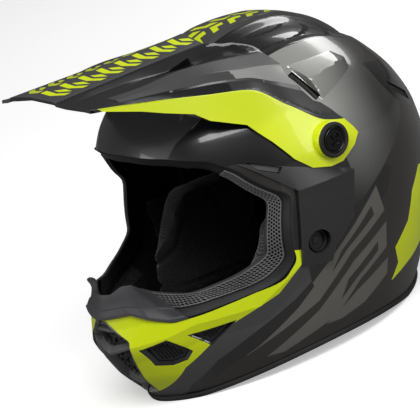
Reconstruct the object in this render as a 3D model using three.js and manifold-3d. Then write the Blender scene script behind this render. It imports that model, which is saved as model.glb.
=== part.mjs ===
// A full-face motocross helmet with its adjustable peak, as an assembly of separate solids.
//
// Everything is drawn in the wearer's frame: +X the wearer's left, -Y forward, +Z up, millimetres.
// The finished group is then tipped nose up, so that the helmet stands on its base trim at z = 0
// with the origin below the middle of its bounding box.
import * as THREE from "three";
import { mergeVertices } from "three/addons/utils/BufferGeometryUtils.js";
import Module from "manifold-3d";

const wasm = await Module();
wasm.setup();

// ---------------------------------------------------------------- driving dimensions

const GAP = 0.35; // clearance between pieces that touch
const SHELL_WALL = 4;
const EPS_SKIN = SHELL_WALL + GAP;
const STAND_TILT = THREE.MathUtils.degToRad(-8); // worn attitude to standing attitude
const STAND_SHIFT = [0, 2.35, -7.92]; // puts the base on z = 0 and the origin under the middle

// Rim line: a plane that rises to the back, arched over the shoulders.
const RIM_SLOPE = Math.tan(-STAND_TILT);
const RIM_HEIGHT = 12;
const RIM_ARCH = 9;
const RIM_ARCH_CENTRE = -30;
const RIM_ARCH_REACH = 96;
const BASE_TRIM_DEPTH = 4;

// Peak pivot: both side screws lie on one axis along X.
const PIVOT = { y: -13.5, z: 181.5 };
const SCREW_SEAT = 127.5; // half width over the two screw seats
const SHANK_R = 3.5;
const SCREW_HEAD_R = 10.2;
const WASHER_R = 14.5;

// Chin strap: a loop of webbing that swings on its two anchors.
const STRAP = { y: -38, z: 104, anchorX: 105, width: 22, thick: 1.8 };

// Sections of the shell: height, half width, back, front, y of the widest point, front squareness.
const SHELL_SECTIONS = [
  [-20, 80, 86, -132, 0, 1.7],
  [0, 92, 102, -152, 0, 1.7],
  [20, 101, 116, -170, 2, 1.7],
  [50, 110, 131, -183, 5, 1.7],
  [80, 117, 142, -181, 8, 1.75],
  [110, 122, 149, -163, 10, 1.9],
  [140, 124, 149, -143, 12, 2.05],
  [170, 124, 143, -136, 12, 2.1],
  [200, 117, 129, -126, 12, 2.1],
  [225, 104, 108, -105, 11, 2.1],
  [245, 85, 84, -79, 10, 2.05],
  [258, 64, 60, -52, 8, 2.0],
  [266, 38, 36, -26, 6, 2.0],
  [269, 0.5, 5, 3.5, 4, 2.0],
];
const SHELL_LEVELS = [-20, -6, 8, 24, 42, 62, 84, 108, 132, 156, 180, 202, 221, 237, 249, 258, 265];

// Sections of the foam liner's hollow, which holds the head.
const HEAD_SECTIONS = [
  [0, 88, 98, -118, 0, 2.2],
  [60, 89, 104, -116, 4, 2.2],
  [110, 90, 112, -112, 6, 2.2],
  [150, 90, 114, -108, 8, 2.1],
  [180, 86, 108, -100, 9, 2.1],
  [205, 74, 92, -84, 10, 2.1],
  [225, 52, 66, -56, 9, 2.1],
  [235, 28, 38, -24, 8, 2.0],
  [238, 0.5, 8.5, 7.5, 8, 2.0],
];
const HEAD_LEVELS = [0, 30, 60, 90, 120, 150, 170, 188, 204, 217, 227, 234];
const BACK_SQUARENESS = 2.1;
const AROUND = 40; // facets round each section

// Outlines seen from the front, as [x, z] of the left half from the centre line outwards.
const EYEPORT = [
  [0, 194], [46, 192], [78, 187], [94, 177], [113, 148], [109, 94], [102, 79], [89, 74],
  [71, 68], [55, 65], [42, 70], [30, 76], [0, 71],
];
const EYEPORT_SIGHT = [
  [0, 189], [45, 187], [75, 182], [89, 172], [106, 146], [102, 100], [89, 90], [69, 84],
  [57, 88], [28, 99], [20, 98], [12, 92], [0, 91],
];
const MOUTH_VENT = [[0, 71], [7, 71], [25, 54], [24, 43], [12, -2], [0, -2]];

// Outlines seen from the side, as [y, z].
const FRONT_CHIN_VENT = [[-167, 45], [-155, 49.5], [-141, 37], [-143, 32], [-150, 29.5], [-159, 31]];
const SIDE_CHIN_VENT = [[-139, 52], [-126, 41], [-109, 56]];
const BROW_VENT = [[-80, 181], [-56, 171], [-60, 166.5], [-74, 173]];
const SIDE_COVER = [[-86, 181], [2, 153], [-5, 115], [-24, 96], [-28, 84], [-55, 87], [-49, 150]];
const SCOOP = [[-15, 241], [30, 241], [40, 233], [37, 225], [-4, 211]];
const SCOOP_INTAKE = [[-30, 238], [-11, 236], [4, 217], [-4, 206], [-20, 206]];
const REAR_SLOT = [[62, 205], [96, 186], [98, 178], [60, 197]];

// Left half of the peak, front to back. Each row runs from the spine outwards as [x, y, z]:
// spine, crease, channel, ridge, shoulder, top and bottom of the side arm.
const PEAK_SECTIONS = [
  [[0, -202, 265], [32.5, -200, 262], [42, -197, 259.5], [50, -194, 258], [58, -191, 256.5], [64, -189, 255], [65, -186, 252]],
  [[0, -142, 268], [29.5, -142, 263], [39, -142, 258], [52, -142, 256], [62, -142, 254.5], [76, -142, 249], [77, -142, 239]],
  [[0, -95, 270.5], [27, -95, 264], [37, -95, 256], [56, -95, 259], [75, -95, 254], [88, -95, 241], [91, -95, 219]],
  [[0, -62, 272], [25.5, -62, 264.5], [36, -62, 257], [61, -62, 256], [84, -62, 250.5], [99, -62, 236], [105, -62, 199]],
  [[0, -35, 273], [25, -35, 265], [37, -35, 260], [63, -35, 255], [89, -35, 248.5], [111, -35, 216], [119.5, -35, 169]],
  [[0, -11, 273], [25, -11, 266], [38, -11, 262], [65, -11, 256], [92, -11, 246], [122, -11, 197], [127, -11, 159]],
  [[0, 20, 272], [25, 20, 268], [38, 20, 264], [66, 20, 256], [95, 20, 243], [125, 20, 190], [128, 20, 157]],
];
const PEAK_WALL = 2.6;
// What the peak keeps, seen from the side: its arm ends behind the screw.
const PEAK_SIDE = [
  [-230, 300], [-20, 300], [-20, 250], [-28, 244], [-15, 214], [-6, 207], [15, 181], [11, 176],
  [-5, 162], [-20, 159], [-48, 174], [-72, 208], [-98, 220], [-230, 246],
];
const PEAK_TAIL = -47; // y where the spine ends over the crown
const AIR_HOLE = [[40, -118], [42, -76], [47, -78], [47, -98]]; // seen from above, as [x, y]

// ---------------------------------------------------------------- solids

function solidFrom(geometry) {
  const bare = geometry.clone();
  bare.deleteAttribute("normal");
  bare.deleteAttribute("uv");
  const merged = mergeVertices(bare, 1e-4);
  return new wasm.Manifold(
    new wasm.Mesh({
      numProp: 3,
      vertProperties: new Float32Array(merged.attributes.position.array),
      triVerts: new Uint32Array(merged.index.array),
    }),
  );
}

function geometryFrom(solid) {
  const mesh = solid.getMesh();
  const geometry = new THREE.BufferGeometry();
  geometry.setAttribute("position", new THREE.BufferAttribute(mesh.vertProperties, 3));
  geometry.setIndex(new THREE.BufferAttribute(mesh.triVerts, 1));
  geometry.computeVertexNormals();
  return geometry;
}

// A closed skin from a grid of rows: each row is a closed ring of points, capped at both ends.
function ringSolid(rings) {
  const count = rings[0].length;
  const position = rings.flat(2);
  const index = [];
  for (let i = 0; i + 1 < rings.length; i++)
    for (let j = 0; j < count; j++) {
      const a = i * count + j;
      const b = i * count + ((j + 1) % count);
      const c = b + count;
      const d = a + count;
      // the two halves of a ring are split along mirrored diagonals
      index.push(...(j < count / 2 ? [a, b, c, a, c, d] : [a, b, d, b, c, d]));
    }
  const cap = (ring, flip) => {
    const centre = [0, 1, 2].map((k) => ring.reduce((sum, p) => sum + p[k], 0) / count);
    const base = rings.indexOf(ring) * count;
    const hub = position.length / 3;
    position.push(...centre);
    for (let j = 0; j < count; j++) {
      const a = base + j;
      const b = base + ((j + 1) % count);
      index.push(...(flip ? [hub, b, a] : [hub, a, b]));
    }
  };
  cap(rings[0], true);
  cap(rings.at(-1), false);
  const geometry = new THREE.BufferGeometry();
  geometry.setAttribute("position", new THREE.Float32BufferAttribute(position, 3));
  geometry.setIndex(index);
  return solidFrom(geometry);
}

// Smooth curve through a column of a section table that never overshoots its stations.
function columnCurve(table, column) {
  const x = table.map((row) => row[0]);
  const y = table.map((row) => row[column]);
  const rise = x.slice(1).map((_, i) => (y[i + 1] - y[i]) / (x[i + 1] - x[i]));
  const slope = y.map((_, i) => {
    if (i === 0) return rise[0];
    if (i === y.length - 1) return rise[i - 1];
    if (rise[i - 1] * rise[i] <= 0) return 0;
    const before = x[i] - x[i - 1];
    const after = x[i + 1] - x[i];
    const w1 = 2 * after + before;
    const w2 = after + 2 * before;
    return (w1 + w2) / (w1 / rise[i - 1] + w2 / rise[i]);
  });
  return (at) => {
    const i = Math.max(0, x.findLastIndex((v, k) => v <= at && k < x.length - 1));
    const h = x[i + 1] - x[i];
    const t = (at - x[i]) / h;
    const s = 1 - t;
    return (
      s * s * (1 + 2 * t) * y[i] + s * s * t * h * slope[i] +
      t * t * (3 - 2 * t) * y[i + 1] - t * t * s * h * slope[i + 1]
    );
  };
}

// A rounded body given by level sections, and the solid inside it moved out by an offset.
function sectionBody(table, levels) {
  const [width, back, front, widest, square] = [1, 2, 3, 4, 5].map((c) => columnCurve(table, c));
  const top = table.at(-1);
  const point = (angle, z) => {
    const forward = Math.cos(angle) > 0;
    const n = forward ? square(z) : BACK_SQUARENESS;
    const length = forward ? widest(z) - front(z) : back(z) - widest(z);
    const c = Math.abs(Math.cos(angle)) / length;
    const s = Math.abs(Math.sin(angle)) / width(z);
    const r = (c ** n + s ** n) ** (-1 / n);
    return new THREE.Vector3(r * Math.sin(angle), widest(z) - r * Math.cos(angle), z);
  };
  const step = 0.01;
  const normal = (angle, z) => {
    const round = point(angle + step, z).sub(point(angle - step, z));
    const up = point(angle, z + 1).sub(point(angle, z - 1));
    return round.cross(up).normalize();
  };
  // offset is millimetres, or a function of the place on the surface
  const solid = (offset) => {
    const move = typeof offset === "function" ? offset : () => offset;
    const rings = levels.map((z) =>
      Array.from({ length: AROUND }, (_, j) => {
        const angle = (2 * Math.PI * (j + 0.5)) / AROUND;
        const p = point(angle, z);
        return p.addScaledVector(normal(angle, z), move(p)).toArray();
      }),
    );
    const crown = new THREE.Vector3(0, top[4], top[0]);
    const peak = crown.clone().setZ(crown.z + move(crown)).toArray();
    rings.push(rings.at(-1).map((p) => p.map((v, k) => 0.12 * v + 0.88 * peak[k])));
    return ringSolid(rings);
  };
  return { point, solid };
}

// Extrusions of an outline along an axis, from one place to another.
const PLANES = {
  x: [new THREE.Vector3(0, 1, 0), new THREE.Vector3(0, 0, 1)],
  y: [new THREE.Vector3(0, 0, 1), new THREE.Vector3(1, 0, 0)],
  z: [new THREE.Vector3(1, 0, 0), new THREE.Vector3(0, 1, 0)],
};
function prism(axis, outline, from, to) {
  const [u, v] = PLANES[axis];
  const w = u.clone().cross(v);
  const place = (p) => (axis === "y" ? new THREE.Vector2(p[1], p[0]) : new THREE.Vector2(...p));
  const shape = new THREE.Shape(outline.map(place));
  const geometry = new THREE.ExtrudeGeometry(shape, { depth: to - from, bevelEnabled: false });
  geometry.applyMatrix4(new THREE.Matrix4().makeBasis(u, v, w));
  return solidFrom(geometry.translate(...w.clone().multiplyScalar(from).toArray()));
}

const bothSides = (half) => [
  ...half,
  ...half.slice(1, -1).reverse().map(([x, z]) => [-x, z]),
];

// Moves each edge of an outline outwards by a distance, or inwards if it is negative.
function grown(outline, by) {
  const turn = Math.sign(THREE.ShapeUtils.area(outline.map((p) => new THREE.Vector2(...p))));
  return outline.map((p, i) => {
    const before = outline.at(i - 1);
    const after = outline[(i + 1) % outline.length];
    const out = (a, b) => new THREE.Vector2(b[1] - a[1], a[0] - b[0]).normalize();
    const n1 = out(before, p);
    const n2 = out(p, after);
    const mean = n1.clone().add(n2);
    const reach = (2 * by * turn) / Math.max(mean.lengthSq(), 0.8);
    return [p[0] + mean.x * reach, p[1] + mean.y * reach];
  });
}

function cylinder(radius, x0, x1, y, z, segments = 24) {
  const geometry = new THREE.CylinderGeometry(radius, radius, x1 - x0, segments);
  geometry.rotateZ(-Math.PI / 2);
  return solidFrom(geometry.translate((x0 + x1) / 2, y, z));
}

function box(x0, x1, y0, y1, z0, z1) {
  const geometry = new THREE.BoxGeometry(x1 - x0, y1 - y0, z1 - z0);
  return solidFrom(geometry.translate((x0 + x1) / 2, (y0 + y1) / 2, (z0 + z1) / 2));
}

const mirrored = (solid) => solid.mirror([1, 0, 0]);
const pair = (solid) => solid.add(mirrored(solid));
const FAR = 400;

const shellBody = sectionBody(SHELL_SECTIONS, SHELL_LEVELS);
const headBody = sectionBody(HEAD_SECTIONS, HEAD_LEVELS);
const skin = shellBody.solid;
const head = headBody.solid;
const layer = (outer, inner) => skin(outer).subtract(skin(inner));

const rimAt = (y) => {
  const across = (y - RIM_ARCH_CENTRE) / RIM_ARCH_REACH;
  return RIM_HEIGHT + RIM_SLOPE * y + RIM_ARCH * Math.max(0, 1 - across * across);
};

// Everything above the rim line raised by a height.
function aboveRim(raise) {
  const line = [];
  for (let y = -250; y <= 250; y += 20) line.push([y, rimAt(y) + raise]);
  return prism("x", [...line, [250, FAR], [-250, FAR]], -FAR, FAR);
}

const standPlane = prism(
  "x",
  [-250, 250].map((y) => [y, RIM_HEIGHT - BASE_TRIM_DEPTH + RIM_SLOPE * y]).concat([[250, FAR], [-250, FAR]]),
  -FAR,
  FAR,
);

const eyeport = (grow) => prism("y", grown(bothSides(EYEPORT), grow), -FAR, -14);
const sight = (grow) => prism("y", grown(bothSides(EYEPORT_SIGHT), grow), -FAR, -14);
const mouth = (grow) => prism("y", grown(bothSides(MOUTH_VENT), grow), -FAR, -120);
const sideCut = (outline, grow = 0) => prism("x", grown(outline, grow), 20, FAR);

// ---------------------------------------------------------------- shell and its liners

// The crown ridge: a low raised spine from under the peak to the back of the head.
const RIDGE_HALF = [[27, -72], [25, -40], [22, -5], [18, 50], [12, 102], [6, 138]];
const ridgeHeight = (p) => {
  const rise = THREE.MathUtils.smoothstep(p.y, -75, -20);
  const fall = 1 - THREE.MathUtils.smoothstep(p.y, 90, 150);
  return 0.2 + 3.3 * rise * fall;
};
const ridge = () =>
  skin(ridgeHeight)
    .intersect(prism("z", [...RIDGE_HALF, ...RIDGE_HALF.map(([x, y]) => [-x, y]).reverse()], 150, FAR));

const scoop = () => skin(6).intersect(sideCut(SCOOP)).subtract(
  skin(4).subtract(skin(-0.5)).intersect(sideCut(SCOOP_INTAKE)),
);

function outerShell() {
  const holes = [FRONT_CHIN_VENT, SIDE_CHIN_VENT, BROW_VENT, REAR_SLOT].map((o) => sideCut(o));
  const screwHole = cylinder(SHANK_R + 0.6, 90, 140, PIVOT.y, PIVOT.z, 16);
  const plugHole = cylinder(9.5, 80, 140, STRAP.y, STRAP.z);
  const intake = prism("x", [[-14, 233], [-4, 232], [6, 219], [0, 214]], 60, FAR);
  return skin(0)
    .add(ridge())
    .add(pair(scoop()))
    .subtract(skin(-SHELL_WALL))
    .intersect(aboveRim(GAP))
    .subtract(eyeport(0))
    .subtract(mouth(0))
    .subtract(pair(wasm.Manifold.union([...holes, screwHole, plugHole, intake])));
}

function foamLiner() {
  const faceOpening = prism("x", [[-250, 150], [-62, 150], [-46, 128], [-46, -60], [-250, -60]], -FAR, FAR);
  const nutPocket = cylinder(9.5, 98, 140, PIVOT.y, PIVOT.z, 16);
  const strapSlot = box(76, 130, -76, 4, -60, 118);
  const snapPockets = CHEEK_SNAPS.map(([y, z]) => cylinder(5, 80, 96, y, z, 12));
  return skin(-EPS_SKIN)
    .subtract(head(0))
    .intersect(aboveRim(24))
    .subtract(faceOpening)
    .subtract(eyeport(0.5))
    .subtract(pair(wasm.Manifold.union([nutPocket, strapSlot, ...snapPockets])));
}

function chinFoam() {
  const zone = prism("x", [[-250, -20], [-84, -20], [-84, 74], [-250, 66]], -FAR, FAR);
  return layer(-EPS_SKIN, -18)
    .intersect(zone)
    .intersect(aboveRim(7))
    .subtract(eyeport(0.5))
    .subtract(mouth(4))
    .intersect(box(0, FAR, -FAR, FAR, -FAR, FAR));
}

function crownLiner() {
  const zone = prism("x", [[-92, 300], [-92, 196], [-60, 172], [-46, 133], [140, 133], [140, 300]], -FAR, FAR);
  return head(-GAP).subtract(head(-10)).intersect(zone).subtract(eyeport(0.5));
}

function browPad() {
  return layer(-13, -22)
    .intersect(prism("y", [[-82, 178], [-60, 183], [0, 185.5], [60, 183], [82, 178], [82, 200], [-82, 200]], -FAR, -50))
    .intersect(eyeport(-0.6));
}

const CHEEK_SNAPS = [[12, 62], [28, 84], [12, 106]];
function cheekPad() {
  const side = [[-104, 66], [-96, 48], [-60, 38], [36, 38], [40, 60], [34, 130], [-40, 130], [-52, 118], [-66, 96]];
  return prism("x", side, 56, 120)
    .intersect(head(-GAP - 1.2))
    .intersect(skin(-20))
    .intersect(prism("z", [[56, -60], [56, 60], [87, 60], [87, -20], [78, -104], [66, -104]], 0, 200));
}

function neckRoll() {
  return skin(-EPS_SKIN - 0.6)
    .subtract(head(-13))
    .intersect(aboveRim(5))
    .subtract(aboveRim(24 - GAP))
    .intersect(box(-200, 200, 44, 200, -40, 120));
}

function baseTrim() {
  const beadTop = aboveRim(0);
  return layer(1.2, -6.5)
    .intersect(standPlane)
    .intersect(aboveRim(-BASE_TRIM_DEPTH - 0.2))
    .subtract(beadTop);
}

// ---------------------------------------------------------------- eyeport, covers and vents

const GUARD_REACH = 62; // half width of the nose guard
function eyeportBand() {
  const front = prism("x", [[-51, 60], [-51, 148], [-70, 186], [-70, FAR], [-FAR, FAR], [-FAR, 60]], -FAR, FAR);
  return layer(3, -12).intersect(eyeport(-GAP)).subtract(sight(0)).intersect(front);
}
function noseGuard() {
  return eyeportBand().intersect(box(-GUARD_REACH, GUARD_REACH, -FAR, 0, 40, 120));
}
function eyeportTrim() {
  const guardSpace = box(-GUARD_REACH - GAP, GUARD_REACH + GAP, -FAR, 0, 40, 120);
  return eyeportBand().subtract(guardSpace);
}

function sideCover() {
  const plugSeat = cylinder(9.8, 80, 140, STRAP.y, STRAP.z);
  return layer(3, GAP)
    .intersect(sideCut(SIDE_COVER))
    .subtract(eyeport(0.6))
    .subtract(sideCut(BROW_VENT, 0.5))
    .subtract(plugSeat);
}

const anchorPlug = () =>
  cylinder(9, 106, 114.5, STRAP.y, STRAP.z).subtract(cylinder(5.5, 112, 120, STRAP.y, STRAP.z, 16));

const insert = (outline, outer, inner, shrink = GAP) =>
  layer(outer, inner).intersect(sideCut(outline, -shrink));

const intakeMesh = () =>
  layer(-0.6, -3).intersect(prism("x", grown([[-14, 233], [-4, 232], [6, 219], [0, 214]], -GAP), 60, FAR));

// The mouth vent: a rim round the opening, two folded ledges across it, and a grille behind.
function mouthFrame() {
  const rim = layer(0.5, -11).intersect(mouth(-GAP)).subtract(mouth(-3.2));
  const ledge = (zSide, zMid, thick, x) =>
    prism("y", [[-x, zSide], [0, zMid], [x, zSide], [x, zSide + thick], [0, zMid + thick], [-x, zSide + thick]], -FAR, -140)
      .intersect(layer(1, -11))
      .intersect(mouth(-GAP));
  return rim.add(ledge(45, 38, 7, 30)).add(ledge(8, 4, 6, 26)).intersect(aboveRim(GAP));
}
function mouthGrille() {
  const slots = [];
  for (const z of [14, 22, 30, 52, 59])
    slots.push(box(-14, -1.5, -FAR, 0, z, z + 4), box(1.5, 14, -FAR, 0, z, z + 4));
  return layer(-11.4, -14.5)
    .intersect(mouth(2.5))
    .subtract(eyeport(0.5))
    .intersect(aboveRim(8))
    .subtract(wasm.Manifold.union(slots));
}

function rearVent() {
  const shape = [[-22, 78], [22, 78], [30, 92], [18, 100], [-18, 100], [-30, 92]];
  const slots = [-12, 0, 12].map((x) => box(x - 3.5, x + 3.5, 100, 200, 82, 96));
  return layer(4.5, GAP)
    .intersect(prism("y", shape, 60, FAR))
    .subtract(wasm.Manifold.union(slots));
}

// ---------------------------------------------------------------- peak and its screws

function peak() {
  const rows = PEAK_SECTIONS.map((half) => [
    ...half.slice(1).reverse().map(([x, y, z]) => [-x, y, z]),
    ...half,
  ]);
  // the inner face lies a wall's thickness down the surface normal
  const at = (i, j) => new THREE.Vector3(...rows[Math.min(Math.max(i, 0), rows.length - 1)][j]);
  const last = rows[0].length - 1;
  const inner = rows.map((row, i) =>
    row.map((p, j) => {
      const along = at(i + 1, j).sub(at(i - 1, j));
      const across = at(i, Math.min(j + 1, last)).sub(at(i, Math.max(j - 1, 0)));
      const normal = along.cross(across).normalize();
      return new THREE.Vector3(...p).addScaledVector(normal, PEAK_WALL).toArray();
    }),
  );
  const rings = rows.map((row, i) => [...row, ...inner[i].slice().reverse()]);
  const wall = ringSolid(rings);
  const seat = cylinder(WASHER_R + 1, 119, SCREW_SEAT, PIVOT.y, PIVOT.z);
  const tail = box(-24.6, 24.6, PEAK_TAIL, 60, 240, 300);
  const bore = cylinder(SHANK_R + 0.4, 100, 140, PIVOT.y, PIVOT.z, 16);
  const airHole = prism("z", AIR_HOLE, 240, 300);
  return wall
    .add(pair(seat))
    .intersect(prism("x", PEAK_SIDE, -FAR, FAR))
    .subtract(pair(wasm.Manifold.union([bore, airHole])))
    .subtract(tail)
    .subtract(skin((p) => 1.8 + ridgeHeight(p) * (Math.abs(p.x) < 45 ? 1 : 0)));
}

function sideScrew() {
  const slot = 1.3;
  return cylinder(SCREW_HEAD_R, SCREW_SEAT + GAP, SCREW_SEAT + 3, PIVOT.y, PIVOT.z)
    .add(cylinder(SHANK_R, 108, SCREW_SEAT + 1, PIVOT.y, PIVOT.z, 16))
    .subtract(box(SCREW_SEAT + 1.6, 140, PIVOT.y - 6.5, PIVOT.y + 6.5, PIVOT.z - slot, PIVOT.z + slot))
    .subtract(box(SCREW_SEAT + 1.6, 140, PIVOT.y - slot, PIVOT.y + slot, PIVOT.z - 6.5, PIVOT.z + 6.5));
}

const washer = () =>
  cylinder(WASHER_R, SCREW_SEAT + GAP, SCREW_SEAT + 3.4, PIVOT.y, PIVOT.z).subtract(
    cylinder(SCREW_HEAD_R + 0.6, 100, 140, PIVOT.y, PIVOT.z),
  );

const screwNut = () =>
  cylinder(8, 104, 112.8, PIVOT.y, PIVOT.z, 6).subtract(
    cylinder(SHANK_R + 0.2, 107, 140, PIVOT.y, PIVOT.z, 16),
  );

// ---------------------------------------------------------------- chin strap

// A strip of webbing whose middle line runs through [x, z] points, across the helmet.
function webbing(points, thick = STRAP.thick, width = STRAP.width) {
  const side = (sign) =>
    points.map(([x, z], i) => {
      const [ax, az] = points[Math.max(i - 1, 0)];
      const [bx, bz] = points[Math.min(i + 1, points.length - 1)];
      const length = Math.hypot(bx - ax, bz - az);
      const reach = (sign * thick) / 2 / length;
      return [x - (bz - az) * reach, z + (bx - ax) * reach];
    });
  return prism("y", [...side(1), ...side(-1).reverse()], STRAP.y - width / 2, STRAP.y + width / 2);
}

const RING = { x: 75.2, z: 26, wire: 1.6, sides: 8, apart: 4, reach: 18, corner: 3.2 };
const HALF_BAR = STRAP.width / 2 + 3;
const ROLL = { outer: 5.6, inner: 4.2 };
const circle = (x, z, r, n) =>
  Array.from({ length: n }, (_, i) => {
    const a = (2 * Math.PI * i) / n;
    return [x + r * Math.cos(a), z + r * Math.sin(a)];
  });

// The short strap ends in a roll that holds the straight bars of both rings.
function shortStrap() {
  const roll = (radius) =>
    prism("y", circle(RING.x, RING.z, radius, 16), STRAP.y - STRAP.width / 2, STRAP.y + STRAP.width / 2);
  return webbing([[STRAP.anchorX - 4.5, 112], [93, 90], [91.5, 56], [89, 38], [79.5, 28.8]])
    .add(roll(ROLL.outer))
    .subtract(roll(ROLL.inner));
}

// The long strap runs under the chin, up through both rings, over the outer one and back.
const longStrap = () =>
  webbing([
    [4.5 - STRAP.anchorX, 112], [-93, 90], [-91.5, 56], [-89, 38], [-80, 26], [-62, 18], [-30, 13.5],
    [30, 12.6], [48, 12.8], [58, 14.6], [63.5, 18], [65, 23], [63.5, 28.5], [58, 31.4], [53, 29.5],
    [50.5, 25], [47, 19.5], [38, 16.3], [6, 15.8],
  ]);

// A steel ring with one straight bar; drop is how far its round end hangs below the bar.
function dRing(barZ, drop) {
  // half of the ring's middle line, as distance from the bar and place along it
  const half = new THREE.Path();
  half.moveTo(0, 0);
  half.lineTo(0, HALF_BAR - RING.corner);
  half.quadraticCurveTo(0, HALF_BAR, RING.corner, HALF_BAR);
  half.lineTo(0.45 * RING.reach, HALF_BAR);
  half.bezierCurveTo(0.85 * RING.reach, HALF_BAR, RING.reach, 0.6 * HALF_BAR, RING.reach, 0);
  const run = half.getPoints(5).filter((p, i, all) => i === 0 || p.distanceTo(all[i - 1]) > 0.5);
  const loop = [...run, ...run.slice(1, -1).reverse().map((p) => new THREE.Vector2(p.x, -p.y))];
  const slope = drop / RING.reach;
  const out = new THREE.Vector3(-1, 0, -slope).normalize();
  const up = new THREE.Vector3(-slope, 0, 1).normalize();
  const rings = loop.map((p, i) => {
    const along = loop[(i + 1) % loop.length].clone().sub(loop.at(i - 1)).normalize();
    const centre = new THREE.Vector3(RING.x, STRAP.y + p.y, barZ).addScaledVector(out, p.x);
    // across the wire, in the ring's own plane
    const side = out.clone().multiplyScalar(along.y).addScaledVector(new THREE.Vector3(0, 1, 0), -along.x);
    return circle(0, 0, RING.wire, RING.sides).map(([c, s]) =>
      centre.clone().addScaledVector(side, c).addScaledVector(up, s).toArray(),
    );
  });
  const index = [];
  const n = RING.sides;
  for (let i = 0; i < rings.length; i++)
    for (let j = 0; j < n; j++) {
      const next = (i + 1) % rings.length;
      const [a, b] = [i * n + j, i * n + ((j + 1) % n)];
      const [c, d] = [next * n + ((j + 1) % n), next * n + j];
      index.push(a, b, c, a, c, d);
    }
  const geometry = new THREE.BufferGeometry();
  geometry.setAttribute("position", new THREE.Float32BufferAttribute(rings.flat(2), 3));
  geometry.setIndex(index);
  return solidFrom(geometry);
}

// A padded sleeve on the strap under the chin, and the snap that holds the strap's free end.
const strapSleeve = () =>
  box(-30, -2, STRAP.y - 14.5, STRAP.y + 14.5, 9.8, 17.2).subtract(
    box(-40, 10, STRAP.y - 11.6, STRAP.y + 11.6, 11.6, 15),
  );
function strapSnap() {
  const geometry = new THREE.CylinderGeometry(6, 6.6, 2.4, 20);
  geometry.rotateX(Math.PI / 2);
  return solidFrom(geometry.translate(16, STRAP.y, 18.4));
}

const strapAnchor = () =>
  box(STRAP.anchorX - 3, STRAP.anchorX - 0.6, STRAP.y - 10, STRAP.y + 10, STRAP.z - 8, STRAP.z + 14);

// ---------------------------------------------------------------- materials and assembly

const FINISH = {
  shellBlack: { color: 0x1b1b1c, roughness: 0.38, metalness: 0.1 },
  peakBlack: { color: 0x2b2b2d, roughness: 0.45, metalness: 0.0 },
  trimRubber: { color: 0x161617, roughness: 0.7, metalness: 0.0 },
  guardRubber: { color: 0x3a3a3d, roughness: 0.62, metalness: 0.0 },
  coverPlastic: { color: 0x2a2a2c, roughness: 0.5, metalness: 0.0 },
  ventPlastic: { color: 0x56565a, roughness: 0.42, metalness: 0.0 },
  steel: { color: 0xb8babd, roughness: 0.28, metalness: 1.0 },
  darkMetal: { color: 0x2f2f31, roughness: 0.35, metalness: 0.9 },
  mesh: { color: 0x101011, roughness: 0.55, metalness: 0.5 },
  foam: { color: 0x25262a, roughness: 0.95, metalness: 0.0 },
  lining: { color: 0x1d1d20, roughness: 0.95, metalness: 0.0 },
  webbing: { color: 0x18181a, roughness: 0.85, metalness: 0.0 },
};

const materials = Object.fromEntries(
  Object.entries(FINISH).map(([name, look]) => [name, new THREE.MeshStandardMaterial(look)]),
);

const helmet = new THREE.Group();
function place(name, finish, solid) {
  const mesh = new THREE.Mesh(geometryFrom(solid), materials[finish]);
  mesh.name = name;
  helmet.add(mesh);
}
function placePair(name, finish, solid) {
  place(`${name}_left`, finish, solid);
  place(`${name}_right`, finish, mirrored(solid));
}

place("outer_shell", "shellBlack", outerShell());
place("foam_liner", "foam", foamLiner());
placePair("chin_foam", "foam", chinFoam());
place("crown_liner", "lining", crownLiner());
place("brow_pad", "lining", browPad());
placePair("cheek_pad", "lining", cheekPad());
place("neck_roll", "lining", neckRoll());
place("base_trim", "trimRubber", baseTrim());
CHEEK_SNAPS.forEach(([y, z], i) =>
  placePair(`cheek_snap_${i + 1}`, "ventPlastic", cylinder(4.6, 89.2, 95.6, y, z, 12)),
);

place("eyeport_trim", "trimRubber", eyeportTrim());
place("nose_guard", "guardRubber", noseGuard());
placePair("side_cover", "coverPlastic", sideCover());
placePair("anchor_plug", "trimRubber", anchorPlug());

placePair("chin_vent_front", "mesh", insert(FRONT_CHIN_VENT, -1.4, -3.6));
placePair("chin_vent_side", "mesh", insert(SIDE_CHIN_VENT, -1.4, -3.6));
placePair("brow_vent", "ventPlastic", insert(BROW_VENT, 0.5, -3.6));
placePair("rear_slot", "mesh", insert(REAR_SLOT, -0.6, -3.2));
placePair("scoop_mesh", "mesh", intakeMesh());
place("mouth_vent_frame", "ventPlastic", mouthFrame());
place("mouth_vent_grille", "mesh", mouthGrille());
place("rear_exhaust", "coverPlastic", rearVent());

place("peak", "peakBlack", peak());
placePair("peak_screw", "darkMetal", sideScrew());
placePair("peak_washer", "trimRubber", washer());
placePair("peak_nut", "ventPlastic", screwNut());

placePair("strap_anchor", "steel", strapAnchor());
place("strap_short", "webbing", shortStrap());
place("strap_long", "webbing", longStrap());
place("strap_sleeve", "lining", strapSleeve());
place("strap_snap", "darkMetal", strapSnap());
place("d_ring_inner", "steel", dRing(RING.z - RING.apart / 2, 5));
place("d_ring_outer", "steel", dRing(RING.z + RING.apart / 2, 1));

helmet.rotation.x = STAND_TILT;
helmet.position.set(...STAND_SHIFT);
helmet.updateMatrixWorld(true);

export default helmet;
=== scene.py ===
"""Looks of a motocross helmet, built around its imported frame.

Lengths are in millimetres in the wearer's frame (+X the wearer's left, -Y forward, +Z up) until a
mesh is made. to_row() then tips the helmet nose up, as it stands on its base trim, in metres.
"""

import math

import bmesh
import bpy
import numpy as np
from mathutils import Matrix, Vector
from mathutils.geometry import delaunay_2d_cdt


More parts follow.
